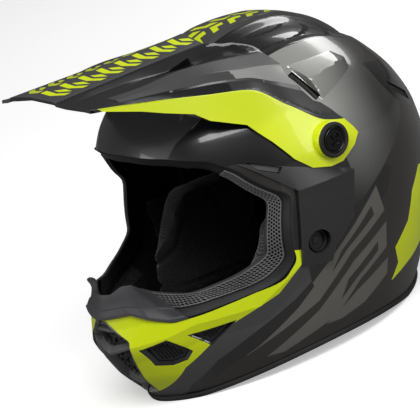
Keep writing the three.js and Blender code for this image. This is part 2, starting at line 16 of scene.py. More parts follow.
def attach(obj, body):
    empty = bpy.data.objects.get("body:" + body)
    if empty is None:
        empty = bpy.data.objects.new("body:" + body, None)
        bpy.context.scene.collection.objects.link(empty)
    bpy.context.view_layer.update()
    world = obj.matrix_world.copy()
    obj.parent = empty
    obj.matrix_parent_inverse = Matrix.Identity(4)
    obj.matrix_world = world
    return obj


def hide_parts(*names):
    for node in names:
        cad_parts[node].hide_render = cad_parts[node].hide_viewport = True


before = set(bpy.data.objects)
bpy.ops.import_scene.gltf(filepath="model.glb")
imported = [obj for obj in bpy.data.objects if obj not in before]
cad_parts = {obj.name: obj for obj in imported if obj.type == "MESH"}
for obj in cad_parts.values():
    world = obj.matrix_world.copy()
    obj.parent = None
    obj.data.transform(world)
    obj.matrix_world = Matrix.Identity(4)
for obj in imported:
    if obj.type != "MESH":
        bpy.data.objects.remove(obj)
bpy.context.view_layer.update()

# ------------------------------------------------------------------ frame and driving sizes

STAND_TILT = math.radians(-8)
STAND_SHIFT = np.array([0, 2.35, -7.92])
STAND = np.array(
    [
        [1, 0, 0],
        [0, math.cos(STAND_TILT), -math.sin(STAND_TILT)],
        [0, math.sin(STAND_TILT), math.cos(STAND_TILT)],
    ]
)
PIVOT_Y, PIVOT_Z = -13.5, 181.5
PLUG_Y, PLUG_Z = -38, 104
RIM_HEIGHT, RIM_SLOPE = 12, math.tan(-STAND_TILT)
RIM_ARCH, RIM_ARCH_CENTRE, RIM_ARCH_REACH = 9, -30, 96


def to_row(points):
    return (np.asarray(points, float) @ STAND.T + STAND_SHIFT) / 1000


def rim_at(y):
    across = (y - RIM_ARCH_CENTRE) / RIM_ARCH_REACH
    return RIM_HEIGHT + RIM_SLOPE * y + RIM_ARCH * np.maximum(0, 1 - across**2)


# ------------------------------------------------------------------ the shell's base surface

# height, half width, back, front, y of the widest point, front squareness
SHELL_SECTIONS = np.array(
    [
        [-20, 80, 86, -132, 0, 1.7],
        [0, 92, 102, -152, 0, 1.7],
        [20, 101, 116, -170, 2, 1.7],
        [50, 110, 131, -183, 5, 1.7],
        [80, 117, 142, -181, 8, 1.75],
        [110, 122, 149, -163, 10, 1.9],
        [140, 124, 149, -143, 12, 2.05],
        [170, 124, 143, -136, 12, 2.1],
        [200, 117, 129, -126, 12, 2.1],
        [225, 104, 108, -105, 11, 2.1],
        [245, 85, 84, -79, 10, 2.05],
        [258, 64, 60, -52, 8, 2.0],
        [266, 38, 36, -26, 6, 2.0],
        [269, 0.5, 5, 3.5, 4, 2.0],
    ]
)
BACK_SQUARENESS = 2.1
CENTRE = np.array([0, -5, 120.0])


def smooth_curve(x, y, at):
    """The monotone cubic through (x, y), at the given places."""
    h = np.diff(x)
    rise = np.diff(y) / h
    slope = np.zeros(len(x))
    slope[0], slope[-1] = rise[0], rise[-1]
    for i in range(1, len(x) - 1):
        if rise[i - 1] * rise[i] > 0:
            w1, w2 = 2 * h[i] + h[i - 1], h[i] + 2 * h[i - 1]
            slope[i] = (w1 + w2) / (w1 / rise[i - 1] + w2 / rise[i])
    i = np.clip(np.searchsorted(x, at, side="right") - 1, 0, len(x) - 2)
    t = (at - x[i]) / h[i]
    s = 1 - t
    return (
        s * s * (1 + 2 * t) * y[i]
        + s * s * t * h[i] * slope[i]
        + t * t * (3 - 2 * t) * y[i + 1]
        - t * t * s * h[i] * slope[i + 1]
    )


FINE_Z = np.linspace(SHELL_SECTIONS[0, 0], SHELL_SECTIONS[-1, 0], 4000)
COLUMNS = [smooth_curve(SHELL_SECTIONS[:, 0], SHELL_SECTIONS[:, c], FINE_Z) for c in range(1, 6)]


def section(z):
    """Half width, back, front, widest y and front squareness at each height."""
    return [np.interp(z, FINE_Z, column) for column in COLUMNS]


def implicit(p):
    """Below 1 inside the shell's base surface and above 1 outside it."""
    width, back, front, widest, square = section(p[:, 2])
    ahead = p[:, 1] < widest
    n = np.where(ahead, square, BACK_SQUARENESS)
    length = np.where(ahead, widest - front, back - widest)
    value = (np.abs(p[:, 0]) / width) ** n + (np.abs(p[:, 1] - widest) / length) ** n
    over = np.maximum(p[:, 2] - FINE_Z[-1], 0) + np.maximum(FINE_Z[0] - p[:, 2], 0)
    return value ** (1 / n) + over / 10


def directions(uv):
    """Unit vectors for places in the half shell's flat chart, whose middle is the wearer's left."""
    reach = np.hypot(uv[:, 0], uv[:, 1])
    share = np.sinc(reach / math.pi)
    return np.stack([np.cos(reach), uv[:, 0] * share, uv[:, 1] * share], 1)


def chart(points):
    """The place in the chart of each point, seen from the centre."""
    d = np.asarray(points, float) - CENTRE
    d = d / np.linalg.norm(d, axis=1, keepdims=True)
    reach = np.arccos(np.clip(d[:, 0], -1, 1))
    side = np.maximum(np.hypot(d[:, 1], d[:, 2]), 1e-9)
    return np.stack([d[:, 1], d[:, 2]], 1) * (reach / side)[:, None]


def cast(uv):
    """The base surface at places in the chart."""
    d = directions(uv)
    low, high = np.full(len(d), 20.0), np.full(len(d), 260.0)
    for _ in range(22):
        middle = (low + high) / 2
        inside = implicit(CENTRE + d * middle[:, None]) < 1
        low = np.where(inside, middle, low)
        high = np.where(inside, high, middle)
    return CENTRE + d * low[:, None]


def steepness(p):
    """How fast the implicit value grows with distance, per mm."""
    n = base_normal(p)
    return np.maximum((implicit(p + n * 0.5) - implicit(p - n * 0.5)), 1e-6)


def base_normal(p):
    step = 0.05
    grad = [
        implicit(p + step * axis) - implicit(p - step * axis) for axis in np.eye(3)
    ]
    grad = np.stack(grad, 1)
    return grad / np.linalg.norm(grad, axis=1, keepdims=True)


# ------------------------------------------------------------------ outlines on the shell


def smoothstep(x, a, b):
    t = np.clip((x - a) / (b - a), 0, 1)
    return t * t * (3 - 2 * t)


def ramp(x, a, b):
    return np.clip((x - a) / (b - a), 0, 1)


def even_odd(points, polygon):
    """Whether each 2-D point is inside the polygon."""
    x, y = points[:, 0], points[:, 1]
    inside = np.zeros(len(points), bool)
    for (x0, y0), (x1, y1) in zip(polygon, np.roll(polygon, -1, 0)):
        if y0 == y1:
            continue
        crossing = (y0 > y) != (y1 > y)
        inside ^= crossing & (x < (x1 - x0) * (y - y0) / (y1 - y0) + x0)
    return inside


def edge_distance(points, line):
    """Distance from each 2-D point to an open polyline."""
    best = np.full(len(points), 1e9)
    for a, b in zip(line[:-1], line[1:]):
        ab = b - a
        t = np.clip(((points - a) @ ab) / max(ab @ ab, 1e-12), 0, 1)
        best = np.minimum(best, np.linalg.norm(points - a - t[:, None] * ab, axis=1))
    return best


def rounded(points, radius, steps=4):
    """The polygon with its corners rounded by curves that start a radius from each corner."""
    points = np.asarray(points, float)
    out = []
    for before, p, after in zip(np.roll(points, 1, 0), points, np.roll(points, -1, 0)):
        a = p + (before - p) * min(0.45, radius / np.linalg.norm(before - p))
        b = p + (after - p) * min(0.45, radius / np.linalg.norm(after - p))
        for t in np.linspace(0, 1, steps + 1):
            out.append((1 - t) ** 2 * a + 2 * t * (1 - t) * p + t * t * b)
    return np.array(out)


def resampled(line, step, closed=False):
    line = np.asarray(line, float)
    if closed:
        line = np.vstack([line, line[:1]])
    out = []
    for a, b in zip(line[:-1], line[1:]):
        n = max(1, math.ceil(np.linalg.norm(b - a) / step))
        out += [a + (b - a) * i / n for i in range(n)]
    if not closed:
        out.append(line[-1])
    return np.array(out)


def grown(polygon, by):
    """The polygon with every edge moved outwards by a distance."""
    p = np.asarray(polygon, float)
    area = np.sum(p[:, 0] * np.roll(p[:, 1], -1) - np.roll(p[:, 0], -1) * p[:, 1])
    edge = np.roll(p, -1, 0) - p
    normal = np.stack([edge[:, 1], -edge[:, 0]], 1) * np.sign(area)
    normal /= np.linalg.norm(normal, axis=1, keepdims=True)
    mean = normal + np.roll(normal, 1, 0)
    scale = 2 / np.maximum((mean**2).sum(1), 0.8)
    return p + mean * scale[:, None] * by


# How a flat outline is laid on the shell: seen from the side, from the front or from above.
AXES = {"side": (1, 2), "front": (0, 2), "top": (0, 1)}


def lay(view, flat):
    """Points of the base surface's left half under 2-D points of a view."""
    flat = np.asarray(flat, float)
    if view == "top":
        x, y = flat[:, 0], flat[:, 1]
        low, high = np.full(len(flat), 120.0), np.full(len(flat), 268.9)
        for _ in range(26):
            z = (low + high) / 2
            inside = implicit(np.stack([x, y, z], 1)) < 1
            low, high = np.where(inside, z, low), np.where(inside, high, z)
        return np.stack([x, y, low], 1)
    z = flat[:, 1]
    width, back, front, widest, square = section(z)
    if view == "side":
        y = flat[:, 0]
        ahead = y < widest
        n = np.where(ahead, square, BACK_SQUARENESS)
        length = np.where(ahead, widest - front, back - widest)
        share = np.minimum(np.abs(y - widest) / length, 1)
        y = widest + np.sign(y - widest) * share * length
        return np.stack([width * (1 - share**n) ** (1 / n), y, z], 1)
    share = np.minimum(np.abs(flat[:, 0]) / width, 1)
    y = widest - (widest - front) * (1 - share**square) ** (1 / square)
    return np.stack([flat[:, 0], y, z], 1)


class Outline:
    """A closed outline drawn in one view and laid on the shell."""

    def __init__(self, view, points, radius=0):
        self.view = view
        self.flat = rounded(points, radius) if radius else np.asarray(points, float)

    def seen(self, p):
        return p[:, AXES[self.view]]

    def inside(self, p):
        hit = even_odd(self.seen(p), self.flat)
        if self.view == "front":
            hit &= p[:, 1] < -10
        if self.view == "top":
            hit &= p[:, 2] > 150
        return hit

    def depth(self, p):
        """Distance inside the outline, 0 outside."""
        closed = np.vstack([self.flat, self.flat[:1]])
        return np.where(self.inside(p), edge_distance(self.seen(p), closed), 0)

    def moved(self, by):
        return Outline(self.view, grown(self.flat, by))

    def loop(self, step=2.2):
        """The outline as places in the chart."""
        return chart(lay(self.view, resampled(self.flat, step, closed=True)))


def laid_line(view, points, step=2.2):
    return chart(lay(view, resampled(points, step)))


# ------------------------------------------------------------------ meshes from a chart


def triangulate(bound, holes, lines, spacing):
    """Triangles of the region inside bound and outside holes, with lines kept as edges."""
    loops = [np.asarray(loop) for loop in [bound, *holes]]
    fixed = np.vstack([*loops, *lines]) if len(lines) else np.vstack(loops)
    low, high = fixed.min(0), fixed.max(0)
    rows = int((high[1] - low[1]) / (spacing * 0.866)) + 2
    columns = int((high[0] - low[0]) / spacing) + 2
    j, i = np.mgrid[0:rows, 0:columns]
    grid = np.stack([low[0] + (i + 0.5 * (j % 2)) * spacing, low[1] + j * spacing * 0.866], -1)
    grid = grid.reshape(-1, 2)
    grid = grid[even_odd(grid, loops[0])]
    keep = np.ones(len(grid), bool)
    for part in np.array_split(fixed, max(1, len(fixed) // 400)):
        near = ((grid[:, None, :] - part[None]) ** 2).sum(2).min(1)
        keep &= near > (0.55 * spacing) ** 2
    points = [Vector(p) for p in grid[keep]]
    edges = []
    for loop in loops:
        start = len(points)
        points += [Vector(p) for p in loop]
        edges += [(start + k, start + (k + 1) % len(loop)) for k in range(len(loop))]
    for line in lines:
        start = len(points)
        points += [Vector(p) for p in line]
        edges += [(start + k, start + k + 1) for k in range(len(line) - 1)]
    made = delaunay_2d_cdt(points, edges, [], 0, 1e-7)
    uv = np.array([tuple(p) for p in made[0]])
    faces = np.array([f for f in made[2] if len(f) == 3])
    middle = uv[faces].mean(1)
    good = even_odd(middle, loops[0])
    for hole in loops[1:]:
        good &= ~even_odd(middle, hole)
    a, b, c = uv[faces[:, 0]], uv[faces[:, 1]], uv[faces[:, 2]]
    area = (b[:, 0] - a[:, 0]) * (c[:, 1] - a[:, 1]) - (b[:, 1] - a[:, 1]) * (c[:, 0] - a[:, 0])
    faces = faces[good & (np.abs(area) > 1e-9 * spacing)]
    used = np.unique(faces)
    index = np.full(len(uv), -1)
    index[used] = np.arange(len(used))
    return uv[used], index[faces]


def boundary_edges(faces):
    edges = np.vstack([faces[:, [0, 1]], faces[:, [1, 2]], faces[:, [2, 0]]])
    key = np.sort(edges, 1)
    _, first, count = np.unique(key, axis=0, return_index=True, return_counts=True)
    return edges[first[count == 1]]


def chart_normals(surface, uv, step):
    """Unit normals of a charted surface by differences."""
    across = surface(uv + [step, 0]) - surface(uv - [step, 0])
    along = surface(uv + [0, step]) - surface(uv - [0, step])
    normal = np.cross(across, along)
    return normal / np.maximum(np.linalg.norm(normal, axis=1, keepdims=True), 1e-12)


def make_object(name, points, faces, materials, face_material=None, normals=None):
    """A mesh object from points in the wearer's frame; normals are one per face corner."""
    mesh = bpy.data.meshes.new(name)
    mesh.from_pydata(to_row(points).tolist(), [], [list(map(int, f)) for f in faces])
    for material in materials:
        mesh.materials.append(material)
    if face_material is not None:
        mesh.polygons.foreach_set("material_index", np.asarray(face_material, np.int32))
    mesh.polygons.foreach_set("use_smooth", np.ones(len(mesh.polygons), bool))
    if normals is not None:
        mesh.normals_split_custom_set((normals @ STAND.T).tolist())
    mesh.update()
    obj = bpy.data.objects.new(name, mesh)
    bpy.context.scene.collection.objects.link(obj)
    return obj


def chart_piece(
    name, surface, bound, holes, lines, spacing, wall, materials, paint=None, step=None,
    mirror="both", edge_material=0, back_material=None,
):
    """A walled piece over a chart.

    surface(uv, lift) gives points raised along the normal; paint(uv) gives a material number per
    place. mirror is "both" for one piece across the middle, "left" or "right" for one side.
    """
    step = step or spacing * 0.06
    uv, faces = triangulate(bound, holes, lines, spacing)
    top = surface(uv, 0.0)
    under = surface(uv, -wall)
    # faces turn outwards
    a, b, c = top[faces[:, 0]], top[faces[:, 1]], top[faces[:, 2]]
    out = np.cross(b - a, c - a)
    reference = top[faces].mean(1) - under[faces].mean(1)
    flip = (out * reference).sum(1) < 0
    faces[flip] = faces[flip][:, ::-1]
    middle = uv[faces].mean(1)
    corner_uv = uv[faces] * 0.86 + middle[:, None] * 0.14
    normals = chart_normals(lambda q: surface(q, 0.0), corner_uv.reshape(-1, 2), step)
    sign = np.sign((normals.reshape(-1, 3, 3)[:, 0] * reference).sum(1))
    normals = normals.reshape(-1, 3, 3) * sign[:, None, None]
    material = np.zeros(len(faces), int) if paint is None else paint(middle)
    back = np.full(len(faces), edge_material if back_material is None else back_material)
    edges = boundary_edges(faces)
    count = len(uv)
    on_seam = np.abs(top[:, 0]) < 0.02
    if mirror == "both":
        seam_edge = on_seam[edges[:, 0]] & on_seam[edges[:, 1]]
        edges = edges[~seam_edge]
    sides = np.stack([edges[:, 1], edges[:, 0], edges[:, 0] + count, edges[:, 1] + count], 1)
    wall_normal = np.cross(
        top[edges[:, 1]] - top[edges[:, 0]], top[edges[:, 0]] - under[edges[:, 0]]
    )
    wall_normal /= np.maximum(np.linalg.norm(wall_normal, axis=1, keepdims=True), 1e-9)
    points = np.vstack([top, under])
    all_faces = [*faces.tolist(), *(faces[:, ::-1] + count).tolist(), *sides.tolist()]
    all_normals = np.vstack(
        [
            normals.reshape(-1, 3),
            -normals[:, ::-1].reshape(-1, 3),
            np.repeat(wall_normal, 4, axis=0),
        ]
    )
    all_material = np.concatenate([material, back, np.full(len(sides), edge_material)])
    if mirror in ("right", "both"):
        flipped = points * [-1, 1, 1]
        other = [f[::-1] for f in all_faces]
        # each face's corners are in turn order, so its normals are turned too
        sizes = np.array([len(f) for f in all_faces])
        starts = np.concatenate([[0], np.cumsum(sizes)[:-1]])
        order = np.concatenate([np.arange(s + n - 1, s - 1, -1) for s, n in zip(starts, sizes)])
        other_normals = all_normals[order] * [-1, 1, 1]
        if mirror == "right":
            return make_object(name, flipped, other, materials, all_material, other_normals)
        seam = np.concatenate([on_seam, on_seam])
        points[seam, 0] = 0
        index = np.where(seam, np.arange(len(points)), 0)
        free = np.flatnonzero(~seam)
        index[free] = len(points) + np.arange(len(free))
        other = [[int(index[v]) for v in f] for f in other]
        points = np.vstack([points, flipped[free]])
        all_faces += other
        all_normals = np.vstack([all_normals, other_normals])
        all_material = np.concatenate([all_material, all_material])
    return make_object(name, points, all_faces, materials, all_material, all_normals)


# ------------------------------------------------------------------ shader building blocks


def new_group(name, inputs, outputs):
    """A shader node group with float, colour or vector sockets: {name: default}."""
    tree = bpy.data.node_groups.new(name, "ShaderNodeTree")
    kinds = {float: "NodeSocketFloat", int: "NodeSocketFloat", tuple: "NodeSocketColor"}
    for key, value in inputs.items():
        socket = tree.interface.new_socket(name=key, in_out="INPUT", socket_type=kinds[type(value)])
        socket.default_value = value
    for key, kind in outputs.items():
        tree.interface.new_socket(name=key, in_out="OUTPUT", socket_type=kind)
    return tree, tree.nodes.new("NodeGroupInput"), tree.nodes.new("NodeGroupOutput")


def node(tree, kind, settings=None, **inputs):
    """A node with some settings and inputs: a socket links, anything else is its value."""
    made = tree.nodes.new(kind)
    for key, value in (settings or {}).items():
        setattr(made, key, value)
    for key, value in inputs.items():
        socket = made.inputs[int(key[1:])] if key[0] == "i" and key[1:].isdigit() else made.inputs[key]
        if isinstance(value, bpy.types.NodeSocket):
            tree.links.new(value, socket)
        else:
            socket.default_value = value
    return made


def maths(tree, operation, a, b=0.0, clamp=False):
    made = node(tree, "ShaderNodeMath", {"operation": operation, "use_clamp": clamp}, i0=a, i1=b)
    return made.outputs[0]


def mix_colour(tree, share, a, b, blend="MIX"):
    made = tree.nodes.new("ShaderNodeMix")
    made.data_type = "RGBA"
    made.blend_type = blend
    for index, value in ((0, share), (6, a), (7, b)):
        if isinstance(value, bpy.types.NodeSocket):
            tree.links.new(value, made.inputs[index])
        else:
            made.inputs[index].default_value = value
    return made.outputs[2]


def noise(tree, scale, detail=2.0, roughness=0.5, vector=None):
    made = node(tree, "ShaderNodeTexNoise", Scale=scale, Detail=detail, Roughness=roughness)
    if vector is None:
        vector = tree.nodes.new("ShaderNodeTexCoord").outputs["Object"]
    tree.links.new(vector, made.inputs["Vector"])
    return made.outputs["Fac"]


def grain_group():
    """Moulded grain: a height and an uneven roughness, from fine and coarse noise."""
    tree, given, out = new_group(
        "moulded_grain",
        {"Scale": 900.0, "Roughness": 0.4, "Variation": 0.1},
        {"Height": "NodeSocketFloat", "Roughness": "NodeSocketFloat"},
    )
    fine = noise(tree, given.outputs["Scale"], 3.0)
    coarse = noise(tree, 14.0, 4.0)
    spread = maths(tree, "MULTIPLY", maths(tree, "SUBTRACT", coarse, 0.5), given.outputs["Variation"])
    rough = maths(tree, "ADD", given.outputs["Roughness"], maths(tree, "MULTIPLY", spread, 2.0))
    tree.links.new(fine, out.inputs["Height"])
    tree.links.new(rough, out.inputs["Roughness"])
    return tree


def wear_group():
    """Edge wear: a mask of convex edges, broken up by noise."""
    tree, given, out = new_group(
        "edge_wear", {"Amount": 0.5}, {"Mask": "NodeSocketFloat"}
    )
    pointy = tree.nodes.new("ShaderNodeNewGeometry").outputs["Pointiness"]
    edge = maths(tree, "MULTIPLY", maths(tree, "SUBTRACT", pointy, 0.52), 9.0, clamp=True)
    patches = maths(tree, "SUBTRACT", noise(tree, 60.0, 5.0, 0.7), 0.38)
    broken = maths(tree, "MULTIPLY", edge, maths(tree, "MULTIPLY", patches, 3.0, clamp=True))
    mask = maths(tree, "MULTIPLY", broken, given.outputs["Amount"], clamp=True)
    tree.links.new(mask, out.inputs["Mask"])
    return tree


def flake_group():
    """Metallic flake: a sparkle mask and a cell-wise tilt, for paint with metal in it."""
    tree, given, out = new_group(
        "paint_flake", {"Scale": 1400.0}, {"Sparkle": "NodeSocketFloat", "Height": "NodeSocketFloat"}
    )
    where = tree.nodes.new("ShaderNodeTexCoord").outputs["Object"]
    cells = node(tree, "ShaderNodeTexVoronoi", Vector=where, Scale=given.outputs["Scale"])
    shade = node(tree, "ShaderNodeSeparateColor", Color=cells.outputs["Color"])
    tree.links.new(shade.outputs[0], out.inputs["Sparkle"])
    tree.links.new(shade.outputs[1], out.inputs["Height"])
    return tree


def weave_group():
    """Woven threads over and under each other, along two directions of the object."""
    tree, given, out = new_group(
        "weave", {"Pitch": 0.001}, {"Height": "NodeSocketFloat", "Gap": "NodeSocketFloat"}
    )
    where = tree.nodes.new("ShaderNodeTexCoord").outputs["Object"]
    parts = node(tree, "ShaderNodeSeparateXYZ", Vector=where)
    turns = maths(tree, "DIVIDE", math.pi, given.outputs["Pitch"])
    across = maths(tree, "ADD", parts.outputs[0], parts.outputs[1])
    along = maths(tree, "SUBTRACT", parts.outputs[2], maths(tree, "MULTIPLY", parts.outputs[1], 0.6))
    wave_a = maths(tree, "SINE", maths(tree, "MULTIPLY", across, turns))
    wave_b = maths(tree, "SINE", maths(tree, "MULTIPLY", along, turns))
    height = maths(tree, "ABSOLUTE", maths(tree, "MULTIPLY", wave_a, wave_b))
    tree.links.new(height, out.inputs["Height"])
    tree.links.new(maths(tree, "LESS_THAN", height, 0.12), out.inputs["Gap"])
    return tree


GRAIN = grain_group()
WEAR = wear_group()
FLAKE = flake_group()
WEAVE = weave_group()


class Look:
    """A material being built: its tree, its shader and the groups placed in it."""

    def __init__(self, name, colour, roughness, metallic=0.0, specular=0.5):
        self.material = bpy.data.materials.new(name)
        self.material.use_nodes = True
        self.tree = self.material.node_tree
        self.shader = self.tree.nodes["Principled BSDF"]
        self.shader.inputs["Roughness"].default_value = roughness
        self.shader.inputs["Metallic"].default_value = metallic
        self.shader.inputs["Specular IOR Level"].default_value = specular
        self.colour = (*colour, 1)
        self.shader.inputs["Base Color"].default_value = self.colour
        self.roughness = roughness
        self.height = None

    def group(self, tree, **inputs):
        made = self.tree.nodes.new("ShaderNodeGroup")
        made.node_tree = tree
        for key, value in inputs.items():
            made.inputs[key].default_value = value
        return made

    def link(self, socket, name):
        self.tree.links.new(socket, self.shader.inputs[name])

    def add_height(self, socket, strength, distance):
        inputs = {"Height": socket, "Strength": strength, "Distance": distance}
        if self.height is not None:
            inputs["Normal"] = self.height
        self.height = node(self.tree, "ShaderNodeBump", **inputs).outputs["Normal"]
        self.link(self.height, "Normal")

    def grain(self, scale=900.0, variation=0.08, strength=0.2, distance=0.00005):
        made = self.group(GRAIN, Scale=scale, Roughness=self.roughness, Variation=variation)
        self.link(made.outputs["Roughness"], "Roughness")
        self.add_height(made.outputs["Height"], strength, distance)

    def tint(self, other, scale=8.0, low=0.35, high=0.65):
        """Broad colour variation between the base colour and another."""
        fac = noise(self.tree, scale, 3.0)
        ramp_node = node(self.tree, "ShaderNodeMapRange", Value=fac)
        ramp_node.inputs["From Min"].default_value = low
        ramp_node.inputs["From Max"].default_value = high
        self.base = mix_colour(self.tree, ramp_node.outputs[0], self.colour, (*other, 1))
        self.link(self.base, "Base Color")

    def wear(self, colour, amount=0.4):
        made = self.group(WEAR, Amount=amount)
        base = getattr(self, "base", self.colour)
        self.base = mix_colour(self.tree, made.outputs["Mask"], base, (*colour, 1))
        self.link(self.base, "Base Color")

    def coat(self, weight, roughness=0.06):
        self.shader.inputs["Coat Weight"].default_value = weight
        self.shader.inputs["Coat Roughness"].default_value = roughness


def painted(name, colour, other, roughness=0.32, metallic=0.0, coat=0.6, flake=0.0):
    """Sprayed paint under a clear coat: orange peel, uneven tone and a few rubbed edges."""
    look = Look(name, colour, roughness, metallic)
    look.tint(other, 9.0)
    if flake:
        made = look.group(FLAKE)
        light = tuple(min(1, 1.9 * c + 0.02) for c in colour)
        share = maths(look.tree, "MULTIPLY", made.outputs["Sparkle"], flake)
        look.base = mix_colour(look.tree, share, look.base, (*light, 1))
        look.link(look.base, "Base Color")
        look.add_height(made.outputs["Height"], 0.08, 0.00003)
    look.wear(tuple(min(1, c + 0.08) for c in colour), 0.18)
    look.grain(260.0, 0.05, 0.05, 0.00012)
    look.coat(coat, 0.05)
    return look.material


def moulded(name, colour, other, roughness=0.45, scale=1100.0, strength=0.25, coat=0.0):
    """Injection-moulded plastic with a spark-eroded grain."""
    look = Look(name, colour, roughness)
    look.tint(other, 12.0)
    look.wear(tuple(min(1, c + 0.07) for c in colour), 0.35)
    look.grain(scale, 0.08, strength, 0.00008)
    if coat:
        look.coat(coat, 0.12)
    return look.material


def rubber(name, colour, roughness=0.7):
    look = Look(name, colour, roughness, specular=0.35)
    look.tint(tuple(1.5 * c + 0.004 for c in colour), 26.0)
    look.grain(700.0, 0.1, 0.4, 0.00012)
    look.wear(tuple(c + 0.05 for c in colour), 0.3)
    return look.material


def cloth(name, colour, other, pitch=0.0011, strength=0.9, distance=0.0004):
    """Knitted or woven cloth with soft fuzz."""
    look = Look(name, colour, 0.9, specular=0.2)
    look.tint(other, 20.0)
    threads = look.group(WEAVE, Pitch=pitch)
    shade = tuple(0.35 * c for c in colour)
    look.base = mix_colour(look.tree, threads.outputs["Gap"], look.base, (*shade, 1))
    look.link(look.base, "Base Color")
    look.grain(2200.0, 0.06, 0.3, 0.0002)
    look.add_height(threads.outputs["Height"], strength, distance)
    look.shader.inputs["Sheen Weight"].default_value = 0.35
    look.shader.inputs["Sheen Roughness"].default_value = 0.5
    return look.material


def metal(name, colour, roughness, brushed=0.15):
    look = Look(name, colour, roughness, metallic=1.0)
    look.tint(tuple(0.72 * c for c in colour), 30.0)
    look.grain(1500.0, 0.12, brushed, 0.00004)
    look.wear(tuple(min(1, 1.4 * c + 0.1) for c in colour), 0.5)
    return look.material


def bead_foam(name, colour):
    """Moulded bead foam: swollen cells with darker seams between them."""
    look = Look(name, colour, 0.88, specular=0.25)
    where = look.tree.nodes.new("ShaderNodeTexCoord").outputs["Object"]
    cells = node(look.tree, "ShaderNodeTexVoronoi", Vector=where, Scale=330.0)
    edge = node(
        look.tree, "ShaderNodeTexVoronoi", {"feature": "DISTANCE_TO_EDGE"}, Vector=where, Scale=330.0
    )
    seam = maths(look.tree, "LESS_THAN", edge.outputs["Distance"], 0.06)
    shade = node(look.tree, "ShaderNodeSeparateColor", Color=cells.outputs["Color"])
    light = (*tuple(2.2 * c for c in colour), 1)
    toned = mix_colour(look.tree, maths(look.tree, "MULTIPLY", shade.outputs[0], 0.5), look.colour, light)
    look.link(mix_colour(look.tree, seam, toned, (0.004, 0.004, 0.005, 1)), "Base Color")
    look.add_height(edge.outputs["Distance"], 0.8, 0.001)
    return look.material


def silver_paint_and_highlight():
    """The upper sides: metallic grey that fades down and forward into near black, and darker again towards
    the rear; the light grey high on the side is partly real paint and partly a painted highlight.
    """
    look = Look("silver_fade_and_painted_highlight", (0.27, 0.27, 0.26), 0.3, metallic=0.55)
    where = look.tree.nodes.new("ShaderNodeTexCoord").outputs["Object"]
    parts = node(look.tree, "ShaderNodeSeparateXYZ", Vector=where)
    # painted highlight: the colour is lightest high on the side and darkens downwards, forwards and at the
    # far rear, partly a real paint fade and partly the lamps' shine painted in
    slide = maths(
        look.tree, "ADD", maths(look.tree, "MULTIPLY", parts.outputs[2], 9.0),
        maths(look.tree, "MULTIPLY", parts.outputs[1], 4.5),
    )
    fade = node(look.tree, "ShaderNodeMapRange", {"interpolation_type": "SMOOTHSTEP"}, Value=slide)
    fade.inputs["From Min"].default_value = 1.0
    fade.inputs["From Max"].default_value = 2.2
    rear = node(look.tree, "ShaderNodeMapRange", {"interpolation_type": "SMOOTHSTEP"},
        Value=parts.outputs[1])
    rear.inputs["From Min"].default_value = 0.03
    rear.inputs["From Max"].default_value = 0.088
    rear.inputs["To Min"].default_value = 1.0
    rear.inputs["To Max"].default_value = 0.12
    share = maths(look.tree, "MULTIPLY", fade.outputs[0], rear.outputs[0])
    toned = mix_colour(look.tree, share, (0.02, 0.0195, 0.0185, 1), (0.5, 0.5, 0.48, 1))
    made = look.group(FLAKE)
    share = maths(look.tree, "MULTIPLY", made.outputs["Sparkle"], 0.22)
    toned = mix_colour(look.tree, share, toned, (0.75, 0.75, 0.72, 1), "SOFT_LIGHT")
    look.base = toned
    look.link(toned, "Base Color")
    look.add_height(made.outputs["Height"], 0.06, 0.00003)
    look.wear((0.4, 0.4, 0.4), 0.15)
    look.grain(260.0, 0.05, 0.05, 0.00012)
    look.coat(0.7, 0.05)
    return look.material


NEON = painted("neon_yellow_paint", (0.74, 0.86, 0.0), (0.69, 0.82, 0.0), 0.4, coat=0.3)
BLACK = painted("black_paint", (0.006, 0.006, 0.0065), (0.010, 0.010, 0.011), 0.3, coat=0.8)
UMBER = painted("warm_dark_paint", (0.022, 0.019, 0.0165), (0.027, 0.024, 0.021), 0.36, coat=0.5)
STRIPE = painted("warm_grey_paint", (0.105, 0.1, 0.09), (0.125, 0.12, 0.11), 0.36, coat=0.4, flake=0.15)
ASH = painted("dark_grey_paint", (0.05, 0.05, 0.051), (0.06, 0.06, 0.061), 0.34, coat=0.5, flake=0.1)
GUNMETAL = painted("gunmetal_paint", (0.16, 0.16, 0.155), (0.2, 0.2, 0.195), 0.3, 0.5, 0.6, flake=0.2)
SILVER_WITH_HIGHLIGHT = silver_paint_and_highlight()
INNER = moulded("bare_inner_shell", (0.012, 0.012, 0.013), (0.018, 0.018, 0.019), 0.6)
COVER = moulded("cover_plastic", (0.022, 0.022, 0.023), (0.028, 0.028, 0.029), 0.42)
PEAK_BLACK = moulded("peak_gloss_black", (0.007, 0.007, 0.0075), (0.011, 0.011, 0.012), 0.3, 500.0,
    0.06, 0.7)
PEAK_GREY = moulded("peak_dark_grey", (0.05, 0.05, 0.051), (0.062, 0.062, 0.063), 0.34, 700.0, 0.1, 0.4)
VENT_GREY = moulded("vent_grey_plastic", (0.085, 0.085, 0.087), (0.1, 0.1, 0.102), 0.4)
